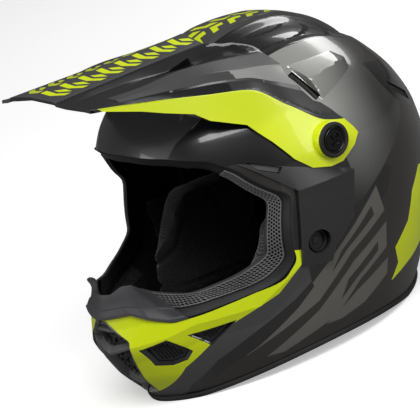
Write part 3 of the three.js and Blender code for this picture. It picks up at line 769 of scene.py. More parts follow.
# silver for the grey band's rear, and also a painted highlight along the channel's rear rim
PEAK_SILVER_AND_RIM_HIGHLIGHT = moulded("peak_silver_and_rim_highlight", (0.3, 0.3, 0.29), (0.26, 0.26, 0.25), 0.32, 700.0, 0.1, 0.4)
PEAK_CHARCOAL = moulded("peak_charcoal", (0.03, 0.03, 0.031), (0.036, 0.036, 0.037), 0.36, 700.0, 0.1,
    0.3)
MESH_BLACK = moulded("mesh_black", (0.010, 0.010, 0.011), (0.016, 0.016, 0.017), 0.45)
TRIM_RUBBER = rubber("trim_rubber", (0.012, 0.012, 0.0125), 0.62)
GUARD_RUBBER = rubber("guard_rubber", (0.045, 0.045, 0.048), 0.5)
GASKET = rubber("gasket_rubber", (0.1, 0.1, 0.104), 0.5)
STEEL = metal("plated_steel", (0.6, 0.61, 0.63), 0.24)
DARK_METAL = metal("dark_anodised", (0.045, 0.045, 0.048), 0.3)
FOAM = bead_foam("bead_foam", (0.014, 0.014, 0.016))
LINING = cloth("lining_knit", (0.012, 0.012, 0.014), (0.018, 0.018, 0.02))
LINING_GREY = cloth("lining_mesh_cloth", (0.03, 0.03, 0.033), (0.04, 0.04, 0.043), 0.0022, 1.0, 0.0007)
WEBBING = cloth("strap_webbing", (0.014, 0.014, 0.015), (0.02, 0.02, 0.021), 0.0016, 1.0, 0.0006)
THREAD = cloth("strap_thread", (0.10, 0.10, 0.10), (0.14, 0.14, 0.14), 0.0006)


# ------------------------------------------------------------------ outlines of the shell

# Half outlines seen from the front, as (x, z) from the middle outwards.
EYEPORT = [
    (0, 194), (46, 192), (78, 187), (94, 177), (113, 148), (109, 94), (102, 79), (89, 74),
    (71, 68), (55, 65), (42, 70), (30, 76), (0, 71),
]
EYEPORT_SIGHT = [
    (0, 189), (45, 187), (75, 182), (89, 172), (106, 146), (102, 100), (89, 90), (69, 84),
    (57, 88), (28, 99), (20, 98), (12, 92), (0, 91),
]
MOUTH_VENT = [(0, 71), (7, 71), (25, 54), (24, 43), (12, -2), (0, -2)]
FRONT_CHIN_VENT = [(-167, 45), (-155, 49.5), (-141, 37), (-143, 32), (-150, 29.5), (-159, 31)]
SIDE_CHIN_VENT = [(-139, 52), (-126, 41), (-109, 56)]
BROW_VENT = [(-80, 181), (-56, 171), (-60, 166.5), (-74, 173)]
SIDE_COVER = [(-86, 181), (2, 153), (-5, 115), (-24, 96), (-28, 84), (-55, 87), (-49, 150)]
SCOOP_REAR = [(-15, 241), (30, 241), (40, 233), (37, 225), (-4, 211)]
SCOOP_SLOT = [(-20, 234), (-14.5, 236), (-4.5, 214), (-10, 212)]
REAR_SLOT = [(72, 204), (100, 186), (101, 178), (78, 192)]
PAST_MIDDLE = -7


def over_seam(half):
    """A half outline carried a little past the middle, so that it cuts through the seam."""
    return [(PAST_MIDDLE, half[0][1]), *half, (PAST_MIDDLE, half[-1][1])]


RIDGE = Outline(
    "top",
    [(-7, -80), (27, -76), (25, -40), (22, -5), (18, 50), (12, 102), (6, 138), (-7, 142)],
)
CHANNEL = Outline(
    "top",
    [(27, -76), (54, -50), (73, -28), (75, 13), (71, 58), (58, 84), (36, 96), (12.5, 98), (18, 50),
     (22, -5), (25, -40)],
)
SCOOP = Outline("side", SCOOP_REAR)
CHIN_CREASE = laid_line("side", [(-181, 47), (-153, 54), (-136, 61), (-89, 64), (-55, 89)])
VENT_LIP = 2.2
HEX_LIP = Outline("side", FRONT_CHIN_VENT).moved(VENT_LIP)
SIDE_LIP = Outline("side", SIDE_CHIN_VENT).moved(1.4)
RIDGE_EDGE, RIDGE_RISE = 1.6, 3.2
CHANNEL_DEPTH, CHANNEL_REACH = 4.6, 12.0
SCOOP_RISE, SCOOP_SLOPE, SCOOP_FRONT = 6.0, 0.42, 0.7
CREASE_RISE, CREASE_REACH = 2.6, 17.0
CHART_SCALE = 140.0


def shell_height(p, uv):
    """How far the outer shell stands proud of its base surface."""
    y = p[:, 1]
    rise = 0.2 + RIDGE_RISE * smoothstep(y, -75, -20) * (1 - smoothstep(y, 90, 150))
    height = rise * ramp(RIDGE.depth(p), 0, RIDGE_EDGE)
    height -= CHANNEL_DEPTH * smoothstep(CHANNEL.depth(p), 0, CHANNEL_REACH)
    inside = SCOOP.inside(p)
    roof = edge_distance(p[:, [1, 2]], np.array(SCOOP_REAR, float)) * SCOOP_SLOPE
    front = ramp(SCOOP.depth(p), 0, SCOOP_FRONT)
    height += np.where(inside, np.minimum(roof, SCOOP_RISE) * front, 0)
    off_crease = edge_distance(uv, CHIN_CREASE) * CHART_SCALE
    height += CREASE_RISE * np.maximum(0, 1 - off_crease / CREASE_REACH)
    height -= 2.2 * ramp(HEX_LIP.depth(p), 0, VENT_LIP)
    height -= 1.2 * ramp(SIDE_LIP.depth(p), 0, 1.4)
    return height


def shell_surface(uv, lift):
    p = cast(uv)
    return p + base_normal(p) * (lift + shell_height(p, uv))[:, None]


def plan_point(angle, z):
    """The base surface at a bearing from straight ahead, at a height."""
    width, back, front, widest, square = section(z)
    ahead = np.cos(angle) > 0
    n = np.where(ahead, square, BACK_SQUARENESS)
    length = np.where(ahead, widest - front, back - widest)
    r = (np.abs(np.cos(angle) / length) ** n + np.abs(np.sin(angle) / width) ** n) ** (-1 / n)
    return np.stack([r * np.sin(angle), widest - r * np.cos(angle), z], 1)


def rim_line(angles, above=0.0):
    """The rim of the shell at bearings from straight ahead."""
    p = plan_point(angles, np.full(len(angles), float(RIM_HEIGHT)))
    for _ in range(12):
        p = plan_point(angles, rim_at(p[:, 1]) + above)
    return p


def half_bound(above=0.35):
    """The chart outline of the left half of the shell: along the rim and back over the seam."""
    rim = chart(rim_line(np.linspace(0.0005, math.pi - 0.0005, 190), above))
    start = math.atan2(rim[-1, 1], rim[-1, 0])
    end = math.atan2(rim[0, 1], rim[0, 0]) % (2 * math.pi)
    arc = np.linspace(start, end, 240)
    seam = math.pi / 2 * np.stack([np.cos(arc), np.sin(arc)], 1)
    rim[0], rim[-1] = seam[-1], seam[0]
    return np.vstack([rim, seam[1:-1]])


# Paint zones, later ones over earlier ones: the outline, and the number of its paint.
ZONE_PAINTS = [UMBER, NEON, BLACK, STRIPE, ASH, SILVER_WITH_HIGHLIGHT, GUNMETAL, INNER]
ZONES = [
    (Outline("side", [
        (-60, 262), (-28, 256), (13, 256), (60, 248), (76, 240), (70, 228), (57, 222), (75, 195),
        (79, 187), (72, 175), (58, 160), (38, 145), (-6, 115), (-29, 82), (-60, 84), (-60, 160),
        (-90, 185), (-100, 215),
    ]), 5),
    (Outline("side", [(55, 223), (63, 203), (76, 186), (100, 174), (108, 190), (108, 204), (84, 217)]),
        2),
    (Outline("side", [
        (-6, 115), (38, 145), (46, 139), (36, 122), (4, 104), (-18, 84), (-44, 66), (-62, 62), (-55, 89),
        (-29, 82),
    ]), 2),
    (Outline("side", [(24, 131), (30, 108), (-8, 84), (-40, 52), (-100, 22), (-108, 34), (-60, 56),
        (-20, 92)]), 3),
    (Outline("side", [(31, 98), (30, 76), (0, 58), (-24, 34), (-70, 16), (-84, 16), (-40, 44),
        (-6, 76)]), 3),
    (Outline("side", [(31, 66), (30, 52), (4, 36), (-20, 29), (-34, 29), (-2, 50)]), 3),
    (Outline("side", [(16, 116), (18, 108), (-12, 88), (-28, 72), (-18, 88)]), 0),
    (Outline("side", [(20, 84), (20, 76), (-4, 60), (-20, 46), (-12, 62)]), 0),
    (Outline("side", [
        (-132, -30), (-134, 4), (-121, 24), (-100, 38), (-78, 50), (-60, 60), (-46, 70), (-50, 98),
        (-90, 70),
        (-149, 30), (-152, -30),
    ]), 4),
    (Outline("side", [
        (-122, -30), (-124, 2), (-112, 16), (-92, 27), (-58, 52), (-44, 66), (-46, 71), (-60, 60),
        (-78, 50),
        (-100, 38), (-121, 24), (-134, 4), (-134, -30),
    ]), 2),
    (Outline("side", [
        (-50, 100), (-70, 104), (-240, 140), (-240, -40), (-150, -40), (-149, -1), (-142, 23), (-127, 40),
        (-109, 55), (-89, 64), (-74, 70), (-55, 89),
    ]), 1),
    (Outline("side", [
        (85, 128), (69, 111), (60, 88), (41, 71), (45, 56), (36, 43), (70, 54), (104, 70), (134, 82),
        (160, 84), (160, 108), (138, 112), (112, 124),
    ]), 1),
    (Outline("side", [
        (-140, 176), (-122, 187), (-112, 202), (-90, 218), (-50, 226), (-10, 196), (2, 153), (-86, 181),
    ]), 2),
    (Outline("side", [(-112, 202), (-90, 218), (-60, 226), (-72, 206), (-96, 196)]), 2),
    (Outline("front", [(-7, 180), (46, 186), (53, 202), (65, 218), (35, 226), (-7, 232)]), 4),
    (CHANNEL, 2),
    (RIDGE, 4),
    (HEX_LIP, 2),
    (SIDE_LIP, 2),
]
MARK_PITCH, MARK_FROM = 19.0, -42.0


def crown_marks():
    """Generic slanted bars along the crown ridge."""
    marks = []
    for k in range(7):
        y = MARK_FROM + MARK_PITCH * k
        w = 18 - 1.5 * k
        marks.append([(2, y + 9), (2, y + 3), (w, y - 4), (w, y + 2), (0.5 * w, y + 6),
            (0.5 * w, y + 13), (2, y + 16)])
    return [Outline("top", mark) for mark in marks]


ZONES += [(mark, 1) for mark in crown_marks()]


def shell_paint(uv):
    p = cast(uv)
    paint = np.zeros(len(p), int)
    for outline, number in ZONES:
        paint[outline.inside(p)] = number
    return paint


def circle(y, z, radius, count=40):
    angle = np.linspace(0, 2 * math.pi, count, endpoint=False)
    return np.stack([y + radius * np.cos(angle), z + radius * np.sin(angle)], 1)


SHELL_HOLES = [
    Outline("front", over_seam(EYEPORT), 5),
    Outline("front", over_seam(MOUTH_VENT), 2),
    Outline("side", FRONT_CHIN_VENT, 1.2),
    Outline("side", SIDE_CHIN_VENT, 1.2),
    Outline("side", BROW_VENT, 1),
    Outline("side", SCOOP_SLOT, 0.6),
    Outline("side", REAR_SLOT, 1.2),
    Outline("side", circle(PIVOT_Y, PIVOT_Z, 4.1)),
    Outline("side", circle(PLUG_Y, PLUG_Z, 9.5)),
]


def build_shell():
    lines = [zone.loop() for zone, _ in ZONES]
    lines = [np.vstack([line, line[:1]]) for line in lines]
    for outline, inset in ((RIDGE, RIDGE_EDGE), (CHANNEL, CHANNEL_REACH), (SCOOP, SCOOP_FRONT)):
        inner = outline.moved(-inset).loop()
        lines.append(np.vstack([inner, inner[:1]]))
    lines.append(np.vstack([SCOOP.loop(), SCOOP.loop()[:1]]))
    lines.append(laid_line("side", [(-11, 227), (24, 229), (28, 231)]))
    lines.append(laid_line("side", [(-7.5, 219), (26, 228)]))
    lines.append(CHIN_CREASE)
    shell = chart_piece(
        "shell_skin", shell_surface, half_bound(), [hole.loop(1.8) for hole in SHELL_HOLES], lines,
        0.0175, 3.6, ZONE_PAINTS, shell_paint, edge_material=2, back_material=7,
    )
    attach(shell, "shell")
    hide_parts("outer_shell")


build_shell()


# ------------------------------------------------------------------ peak

# Left half of the peak, front to back. Each row runs from the spine outwards as (x, y, z):
# spine, crease, channel, ridge, shoulder, top and bottom of the side arm.
PEAK_ROWS = np.array(
    [
        [(0, -202, 265), (32.5, -200, 262), (42, -197, 259.5), (50, -194, 258), (58, -191, 256.5),
            (64, -189, 255), (65, -186, 252.5)],
        [(0, -142, 268), (29.5, -142, 263.6), (36, -142, 259.5), (52, -140, 256.5), (62, -138, 255),
            (76, -142, 249), (77, -142, 240)],
        [(0, -95, 270.5), (27, -95, 265), (34, -95, 256.5), (56, -95, 260), (75, -92, 255),
            (88, -95, 241), (91, -95, 219)],
        [(0, -62, 272), (25.5, -62, 265.5), (34, -62, 255.5), (60, -62, 258.5), (84, -58, 251),
            (99, -62, 236), (104, -62, 199)],
        [(0, -35, 273.5), (25, -35, 266), (36, -35, 257.5), (63, -35, 255.5), (89, -35, 248.5),
            (109.5, -35, 215.5), (117.5, -35, 169)],
        [(0, -11, 273.5), (25, -11, 267), (38, -11, 262), (65, -11, 253), (97, -11, 243.5),
            (120.5, -11, 197), (125.2, -11, 159)],
        [(0, 20, 272), (25, 20, 268), (38, 20, 264), (66, 20, 252), (100, 20, 238), (123.5, 20, 190),
            (126.5, 20, 157)],
    ],
    float,
)
PEAK_WALL = 2.4
ACROSS_STEP, ALONG_STEP = 20.0, 35.0  # chart distance between columns, and between rows
COLUMN_ROUNDING = 0.055
AIR_HOLE = [(39, -122), (30, -66), (38, -67), (46, -97)]
BAND_EDGE, BAND_STEP = 4.42, 0.08  # column where the grey band under the shoulder ends
GREY_FROM, ARM_YELLOW_FROM = 0.55, 0.12  # rows where these colours begin
REAR_RIM = np.array([(93, -24), (78, -21), (60, -18), (48, -21), (36, -25), (28, -36), (25, -46)], float)
PEAK_CLEARANCE = 3.7  # from the shell's base surface to the arm's outer face


def peak_point(across, along):
    """The peak's outer face at column and row numbers, which need not be whole."""
    rows = np.arange(len(PEAK_ROWS), dtype=float)
    columns = np.stack(
        [
            np.stack([smooth_curve(rows, PEAK_ROWS[:, c, k], along) for k in range(3)], 1)
            for c in range(PEAK_ROWS.shape[1])
        ],
        1,
    )
    total = np.zeros((len(along), 3))
    shifts = (-1, -0.5, 0, 0.5, 1)
    everyone = np.arange(len(along))
    for shift in shifts:
        u = np.abs(across + shift * COLUMN_ROUNDING)
        i = np.clip(np.floor(u).astype(int), 0, 5)
        t = (u - i)[:, None]
        part = columns[everyone, i] * (1 - t) + columns[everyone, i + 1] * t
        part[:, 0] *= np.where(across + shift * COLUMN_ROUNDING < 0, -1, 1)
        total += part
    p = total / len(shifts)
    # the sides stay clear of the shell under them
    free = (implicit(p) - 1) / steepness(p)
    short = PEAK_CLEARANCE - free
    push = 0.5 * (short + np.sqrt(short**2 + 1.2)) * smoothstep(np.abs(across), 3.3, 4.3)
    return p + base_normal(p) * push[:, None]


def peak_base(uv):
    return peak_point(uv[:, 0] / ACROSS_STEP, uv[:, 1] / ALONG_STEP)


def peak_normal(uv):
    normal = chart_normals(peak_base, uv, 0.4)
    return normal * np.sign(normal[:, 2:3] + 1e-9)


def place_on_peak(view, flat, low, high):
    """Chart places on the peak, between two columns, that lie under 2-D points of a view."""
    axes = AXES[view]
    u, v = np.meshgrid(np.linspace(low, high, 60), np.linspace(0, 6, 240))
    grid = np.stack([u.ravel() * ACROSS_STEP, v.ravel() * ALONG_STEP], 1)
    seen = peak_base(grid)[:, axes]
    found = []
    for target in np.asarray(flat, float):
        at = grid[((seen - target) ** 2).sum(1).argmin()]
        for _ in range(4):
            here = peak_base(at[None])[0, axes]
            du = (peak_base(at[None] + [0.5, 0])[0, axes] - here) / 0.5
            dv = (peak_base(at[None] + [0, 0.5])[0, axes] - here) / 0.5
            step = np.linalg.lstsq(np.stack([du, dv], 1), target - here, rcond=None)[0]
            at = at + np.clip(step, -4, 4)
        found.append(at)
    return np.array(found)


ARM_BOTTOM = [
    (-150, 242.5), (-132, 236), (-110, 229), (-99, 220.5), (-72, 209.5), (-59, 193), (-47, 175),
    (-34, 164),
    (-18, 160.5), (-6, 161.5), (8, 171),
]
ARM_REAR = [(14.5, 179.5), (12, 184.5), (-1, 203), (-8, 211), (-13, 214)]


def peak_outline():
    front = [(u * ACROSS_STEP, 0) for u in np.linspace(0, 6, 40)]
    bottom = place_on_peak("side", resampled(ARM_BOTTOM, 2.0), 5.2, 6.4)
    rear = place_on_peak("side", resampled([*ARM_REAR, (-23, 234), (-25, 245)], 2.0), 3.9, 6.1)
    top = place_on_peak("top", resampled(REAR_RIM, 2.0), 0.9, 4.1)
    tail = place_on_peak("top", resampled([(24, -46.5), (0.001, -47)], 2.0), 0, 1)
    tail[-1, 0] = 0
    seam = [(0, v) for v in np.linspace(tail[-1, 1], 0, 70)[1:-1]]
    return np.vstack([front, bottom, rear, top, tail, seam])


def peak_surface(uv, lift):
    p = peak_base(uv)
    u, v = uv[:, 0] / ACROSS_STEP, uv[:, 1] / ALONG_STEP
    # the middle panel is a flat-topped slab with a step down at its sides
    step = 1.2 * (1 - smoothstep(u, 0.985, 1.045))
    # the black channel's rear end rises to a thin lip
    lip = 2.0 * smoothstep(v, 4.0, 4.35) * smoothstep(u, 1.15, 1.5) * (1 - smoothstep(u, 2.6, 2.95))
    # a narrow facet between the grey band and the arm is set back
    band = -1.3 * smoothstep(u, BAND_EDGE, BAND_EDGE + BAND_STEP) * (1 - smoothstep(u, 4.9, 5)) * ramp(v,
        0.6, 1.4)
    return p + peak_normal(uv) * (lift + step - 1.2 + lip + band)[:, None]


def peak_marks():
    """Generic angular bars along the middle panel, mirrored across it."""
    marks = []
    for k in range(8):
        y = -190 + 18.2 * k
        w = 25 - 0.8 * k
        marks.append([(2, y + 4), (2, y - 2), (0.6 * w, y - 2), (w, y + 5), (w, y + 11),
            (0.62 * w, y + 4)])
        marks.append([(0.3 * w, y + 7), (0.55 * w, y + 7), (0.9 * w, y + 14), (0.55 * w, y + 14)])
    return marks


PEAK_PAINTS = [PEAK_BLACK, PEAK_GREY, NEON, PEAK_SILVER_AND_RIM_HIGHLIGHT, PEAK_CHARCOAL]
MARKS_ON_PEAK = [place_on_peak("top", mark, 0, 1.05) for mark in peak_marks()]


def peak_paint(uv):
    p = peak_base(uv)
    u, v = uv[:, 0] / ACROSS_STEP, uv[:, 1] / ALONG_STEP
    paint = np.zeros(len(p), int)
    paint[u < 1.03] = 1
    paint[(u > 3) & (u < 4) & (v > GREY_FROM)] = 1
    paint[(u > 4) & (u < BAND_EDGE) & (v > GREY_FROM)] = 1
    paint[(u > 4) & (u < BAND_EDGE) & (p[:, 1] > -66)] = 3
    paint[(u > BAND_EDGE) & (u < 5) & (p[:, 1] > -74)] = 4
    # painted highlight: a thin silver strip along the channel's rear rim stands for the light its edge
    # catches
    paint[(u < 3.05) & (edge_distance(p[:, :2], REAR_RIM) < 2.2) & (u > 1.2)] = 3
    paint[(u > 5) & (v > ARM_YELLOW_FROM)] = 2
    for mark in MARKS_ON_PEAK:
        paint[even_odd(uv, mark)] = 2
    return paint


def build_peak():
    lines = []
    for c in (1, 2, 3, 4, 5):
        for off in (-COLUMN_ROUNDING, 0, COLUMN_ROUNDING):
            lines.append(np.array([((c + off) * ACROSS_STEP, v) for v in np.linspace(0, 6 * ALONG_STEP,
                100)]))
    for c in (BAND_EDGE, BAND_EDGE + BAND_STEP):
        lines.append(np.array([(c * ACROSS_STEP, v) for v in np.linspace(0.5, 6 * ALONG_STEP, 100)]))
    lines.append(np.array([(u, ARM_YELLOW_FROM * ALONG_STEP) for u in np.linspace(5 * ACROSS_STEP,
        6.2 * ACROSS_STEP, 12)]))
    lines += [np.vstack([mark, mark[:1]]) for mark in MARKS_ON_PEAK]
    hole = place_on_peak("top", resampled(rounded(AIR_HOLE, 1.0), 2.0, closed=True), 1, 3.4)
    bore = place_on_peak("side", circle(PIVOT_Y, PIVOT_Z, 4.0, 20), 5, 6.4)
    piece = chart_piece(
        "peak_skin", peak_surface, peak_outline(), [hole, bore], lines, 2.0, PEAK_WALL, PEAK_PAINTS,
        peak_paint, edge_material=0, back_material=0,
    )
    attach(piece, "peak")
    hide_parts("peak")


# ------------------------------------------------------------------ swept and turned pieces


def finish_piece(obj, body, replaced=(), sharp=35):
    if sharp:
        obj.data.set_sharp_from_angle(angle=math.radians(sharp))
    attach(obj, body)
    if replaced:
        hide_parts(*replaced)
    return obj


def swept(name, rings, material, closed_path=False, caps=True, face_material=None, materials=None):
    """A skin over closed rings of points, each ring an (n, 3) array in the wearer's frame."""
    rings = np.asarray(rings, float)
    count, n = rings.shape[:2]
    faces, numbers = [], []
    for i in range(count if closed_path else count - 1):
        for j in range(n):
            a, b = i * n + j, i * n + (j + 1) % n
            k = (i + 1) % count
            faces.append((a, b, k * n + (j + 1) % n, k * n + j))
            numbers.append(face_material(i, j) if face_material else 0)
    if caps and not closed_path:
        faces += [tuple(range(n - 1, -1, -1)), tuple(range((count - 1) * n, count * n))]
        numbers += [numbers[0], numbers[-1]]
    obj = make_object(name, rings.reshape(-1, 3), faces, materials or [material], numbers)
    outward(obj)
    return obj


def outward(obj):
    """Turns every face of a closed mesh outwards."""
    work = bmesh.new()
    work.from_mesh(obj.data)
    bmesh.ops.recalc_face_normals(work, faces=work.faces)
    if work.calc_volume(signed=True) < 0:
        bmesh.ops.reverse_faces(work, faces=work.faces)
    work.to_mesh(obj.data)
    work.free()


def turned(name, profile, y, z, side, material, steps=56, materials=None, face_material=None):
    """A body of revolution about the X axis through (y, z) from (x, radius) points."""
    rings = []
    for k in range(steps):
        angle = 2 * math.pi * k / steps
        rings.append([(side * x, y + r * math.cos(angle), z + r * math.sin(angle)) for x, r in profile])
    return swept(name, rings, material, closed_path=True, materials=materials,
        face_material=face_material)


def flat_plate(name, side, x, y, z, bound, cuts, depth, wall, material, spacing=0.9, slope=0.25):
    """A plate square to the X axis, with recesses of one depth cut by 2-D outlines."""
    cut_outlines = [np.asarray(cut, float) for cut in cuts]

    def surface(uv, lift):
        sunk = np.zeros(len(uv))
        for cut in cut_outlines:
            closed = np.vstack([cut, cut[:1]])
            inside = even_odd(uv, cut)
            sunk = np.maximum(sunk, np.where(inside, ramp(edge_distance(uv, closed), 0, slope), 0))
        level = lift - depth * sunk if lift == 0 else np.full(len(uv), lift)
        return np.stack([x + level, y + uv[:, 0], z + uv[:, 1]], 1)

    lines = []
    for cut in cut_outlines:
        for inset in (0, slope):
            line = resampled(grown(cut, -inset), 0.8, closed=True)
            lines.append(np.vstack([line, line[:1]]))
    return chart_piece(
        name, surface, bound, [], lines, spacing, wall, [material], step=0.02,
        mirror="left" if side > 0 else "right",
    )


def build_screws():
    """The pivots: a seat on the peak, a rubber washer and a dished screw with a crossed slot."""
    arm, reach, tip = 1.35, 5.6, 1.0
    cross = []
    for k in range(4):
        turn = math.pi / 4 + k * math.pi / 2
        c, s = math.cos(turn), math.sin(turn)
        for a, b in ((arm, arm), (reach - tip, arm), (reach, arm + tip), (reach, -arm - tip),
            (reach - tip, -arm)):
            cross.append((a * c - b * s, a * s + b * c))
    cross = np.array(cross)
    face = circle(0, 0, 8.2, 60)
    for side, word in ((1, "left"), (-1, "right")):
        seat = turned(
            f"peak_seat_{word}",
            [(118.5, 4.2), (118.5, 14.7), (125.6, 14.8), (126.7, 14.6), (127.2, 14.2), (127.2, 4.2)],
            PIVOT_Y, PIVOT_Z, side, NEON,
        )
        finish_piece(seat, "peak")
        washer = turned(
            f"pivot_washer_{word}",
            [(127.45, 10.7), (127.45, 14.3), (128.6, 14.5), (129.9, 14.2), (130.6, 13.4), (130.75, 12.4),
             (130.4, 11.4), (129.6, 10.8)],
            PIVOT_Y, PIVOT_Z, side, TRIM_RUBBER,
        )
        finish_piece(washer, "peak", [f"peak_washer_{word}"])
        body = turned(
            f"pivot_screw_body_{word}",
            [(108, 0.01), (108, 3.1), (127.4, 3.1), (127.9, 3.2), (127.9, 10.0), (129.2, 10.3),
                (130.2, 10.1),
             (130.4, 9.6), (130.1, 8.9), (129.3, 8.5), (128.6, 8.4), (128.6, 0.01)],
            PIVOT_Y, PIVOT_Z, side, DARK_METAL,
        )
        finish_piece(body, f"screw_{word}", [f"peak_screw_{word}"])
        plate = flat_plate(
            f"pivot_screw_face_{word}", side, 130.0, PIVOT_Y, PIVOT_Z, face, [cross], 1.1, 1.35,
            DARK_METAL
        )
        finish_piece(plate, f"screw_{word}", sharp=0)


# ------------------------------------------------------------------ eyeport trim and nose guard


def paired_outlines(radius=6.0, steps=4, step=2.4):
    """The eyeport's edge and the line of sight inside it, as matching points seen from the front."""
    outer = np.array(EYEPORT, float)
    inner = np.array(EYEPORT_SIGHT, float)
    both = [[], []]
    for i in range(1, len(outer) - 1):
        for line, made in ((outer, both[0]), (inner, both[1])):
            before, p, after = line[i - 1], line[i], line[i + 1]
            a = p + (before - p) * min(0.42, radius / np.linalg.norm(before - p))
            b = p + (after - p) * min(0.42, radius / np.linalg.norm(after - p))
            made += [(1 - t) ** 2 * a + 2 * t * (1 - t) * p + t * t * b for t in np.linspace(0, 1,
                steps + 1)]
    both = [np.vstack([line[:1], made, line[-1:]]) for line, made in zip((outer, inner), both)]
    out = [[], []]
    for i in range(len(both[0]) - 1):
        longest = max(np.linalg.norm(line[i + 1] - line[i]) for line in both)
        n = max(1, math.ceil(longest / step))
        for line, made in zip(both, out):
            made += [line[i] + (line[i + 1] - line[i]) * k / n for k in range(n)]
    return np.array([*out[0], both[0][-1]]), np.array([*out[1], both[1][-1]])


def both_halves(rings):
    """Mirrors rings of the left half, front rings first, into one run from right to left."""
    other = rings[::-1] * [-1, 1, 1]
    return np.concatenate([other[:-1], rings]) if abs(rings[0, 0,
        0]) < 1e-6 else np.concatenate([other, rings])


def band_rings(profile, keep, radius=6.0):
    """Sections of a band between the eyeport's edge and the line of sight: (share, lift) points."""
    outer, inner = paired_outlines(radius)
    keep = keep(outer)
    a, b = lay("front", outer[keep]), lay("front", inner[keep])
    na, nb = base_normal(a), base_normal(b)
    rings = []
    for share, lift in profile:
        rings.append(a * (1 - share) + b * share + (na * (1 - share) + nb * share) * lift)
    return np.stack(rings, 1)


TRIM_PROFILE = [
    (0.0, -1.2), (0.02, 0.6), (0.06, 1.0), (0.11, 0.5), (0.16, -0.6), (0.3, -1.6), (0.33, -2.6),
    (0.37, -2.8),
    (0.97, -7.5), (1.02, -8.4), (1.04, -9.6), (0.98, -10.2), (0.5, -6.2), (0.1, -4.6),
]


def hex_pits(rings, first, last, pitch=3.1):
    """The surface, edge and six-sided holes of a honeycomb strip between two profile points."""
    side = rings[:, [first, last]]
    middle = side.mean(1)
    run = np.concatenate([[0], np.cumsum(np.linalg.norm(np.diff(middle, axis=0), axis=1))])
    width = np.linalg.norm(side[:, 1] - side[:, 0], axis=1).mean()

    def place(st):
        k = np.clip(np.interp(st[:, 0], run, np.arange(len(run))), 0, len(run) - 1.001)
        i = k.astype(int)
        f = (k - i)[:, None]
        edge = side[i] * (1 - f[:, None]) + side[i + 1] * f[:, None]
        t = (st[:, 1] / width)[:, None]
        return edge[:, 0] * (1 - t) + edge[:, 1] * t

    def surface(st, lift):
        normal = chart_normals(place, st, 0.3)
        return place(st) + normal * lift

    bound = resampled([(0.3, 0.2), (run[-1] - 0.3, 0.2), (run[-1] - 0.3, width - 0.2),
        (0.3, width - 0.2)], 2.0, closed=True)
    holes = []
    turns = [math.radians(60 * k + 30) for k in range(6)]
    rows = int((width - 1.4) / (pitch * 0.866))
    for r in range(rows):
        t = (width - (rows - 1) * pitch * 0.866) / 2 + r * pitch * 0.866
        for c in range(int((run[-1] - 3) / pitch)):
            s = 2.2 + c * pitch + (pitch / 2 if r % 2 else 0)
            holes.append(np.array([(s + 0.43 * pitch * math.cos(a),
                t + 0.43 * pitch * math.sin(a)) for a in turns]))
    return surface, bound, holes


def build_eyeport():
    def off_guard(outer):
        return (np.abs(outer[:, 0]) > 60.5) | (outer[:, 1] > 120)

    rings = band_rings(TRIM_PROFILE, off_guard)
    trim = swept("eyeport_band", both_halves(rings), TRIM_RUBBER)
    finish_piece(trim, "shell", ["eyeport_trim"])
    outer, _ = paired_outlines()
    outer = outer[off_guard(outer)]
    start = int(np.argmax(outer[:, 0] > 88))
    surface, bound, holes = hex_pits(rings[start:], 7, 8)
    for side in ("left", "right"):
        piece = chart_piece(
            f"eyeport_gasket_{side}", surface, bound, holes, [], 1.6, 1.6, [GASKET], step=0.05,
            mirror=side
        )
        finish_piece(piece, "shell", sharp=0)


# Nose guard: share of the way from the eyeport's edge to the guard's top, and lift off the shell.
GUARD_PROFILE = [
    (0.0, -1.0), (0.0, 1.4), (0.04, 2.7), (0.1, 3.0), (0.13, 2.2), (0.36, 2.0), (0.4, 0.6), (0.75, 0.6),
    (0.9, 1.4), (0.99, 1.0), (1.01, -1.4), (0.99, -3.6), (0.9, -4.6), (0.5, -5.0), (0.1, -4.6),
]


def build_nose_guard():
    def near_middle(outer):
        return (np.abs(outer[:, 0]) <= 63) & (outer[:, 1] < 120)

    rings = band_rings(GUARD_PROFILE, near_middle, 1.8)[::-1]
    guard = swept("nose_guard_moulding", both_halves(rings), GUARD_RUBBER)
    finish_piece(guard, "shell", ["nose_guard"])


# ------------------------------------------------------------------ covers, plugs and vents

COVER_TOP = 3.4


def cover_height(p):
    """A sloping upper facet that meets the flat side of the cover along a level crease."""
    y, z = p[:, 1], p[:, 2]
    upper = np.array([(-86, 181), (2, 153)], float)
    crease = np.array([(-49, 150), (2, 153)], float)
    top, low = edge_distance(p[:, [1, 2]], upper), edge_distance(p[:, [1, 2]], crease)
    above = z > np.interp(y, crease[:, 0], crease[:, 1])
    facet = 0.9 + (COVER_TOP + 1.6 - 0.9) * top / np.maximum(top + low, 1e-6)
    lower = COVER_TOP + 1.6 * np.exp(-low / 14.0)
    return np.where(above, facet, lower)


def build_covers():
    def surface(uv, lift):
        p = cast(uv)
        height = cover_height(p) if lift == 0 else np.full(len(p), 0.35)
        return p + base_normal(p) * height[:, None]

    cover = Outline("side", SIDE_COVER)
    bound = cover.moved(-0.2)
    bound = Outline("side", rounded(bound.flat, 1.4)).loop(1.8)
    holes = [Outline("side", BROW_VENT).moved(0.4).loop(1.6),
        Outline("side", circle(PLUG_Y, PLUG_Z, 9.9)).loop()]
    crease = laid_line("side", [(-52, 150), (3, 153)])
    eyeport = Outline("front", over_seam(EYEPORT), 5).moved(-0.2)
    for side in ("left", "right"):
        piece = chart_piece(
            f"side_cover_skin_{side}", surface, bound, [eyeport.loop(1.8), *holes], [crease], 0.013, 1.0,
            [COVER], mirror=side,
        )
        finish_piece(piece, "shell", [f"side_cover_{side}"], sharp=0)


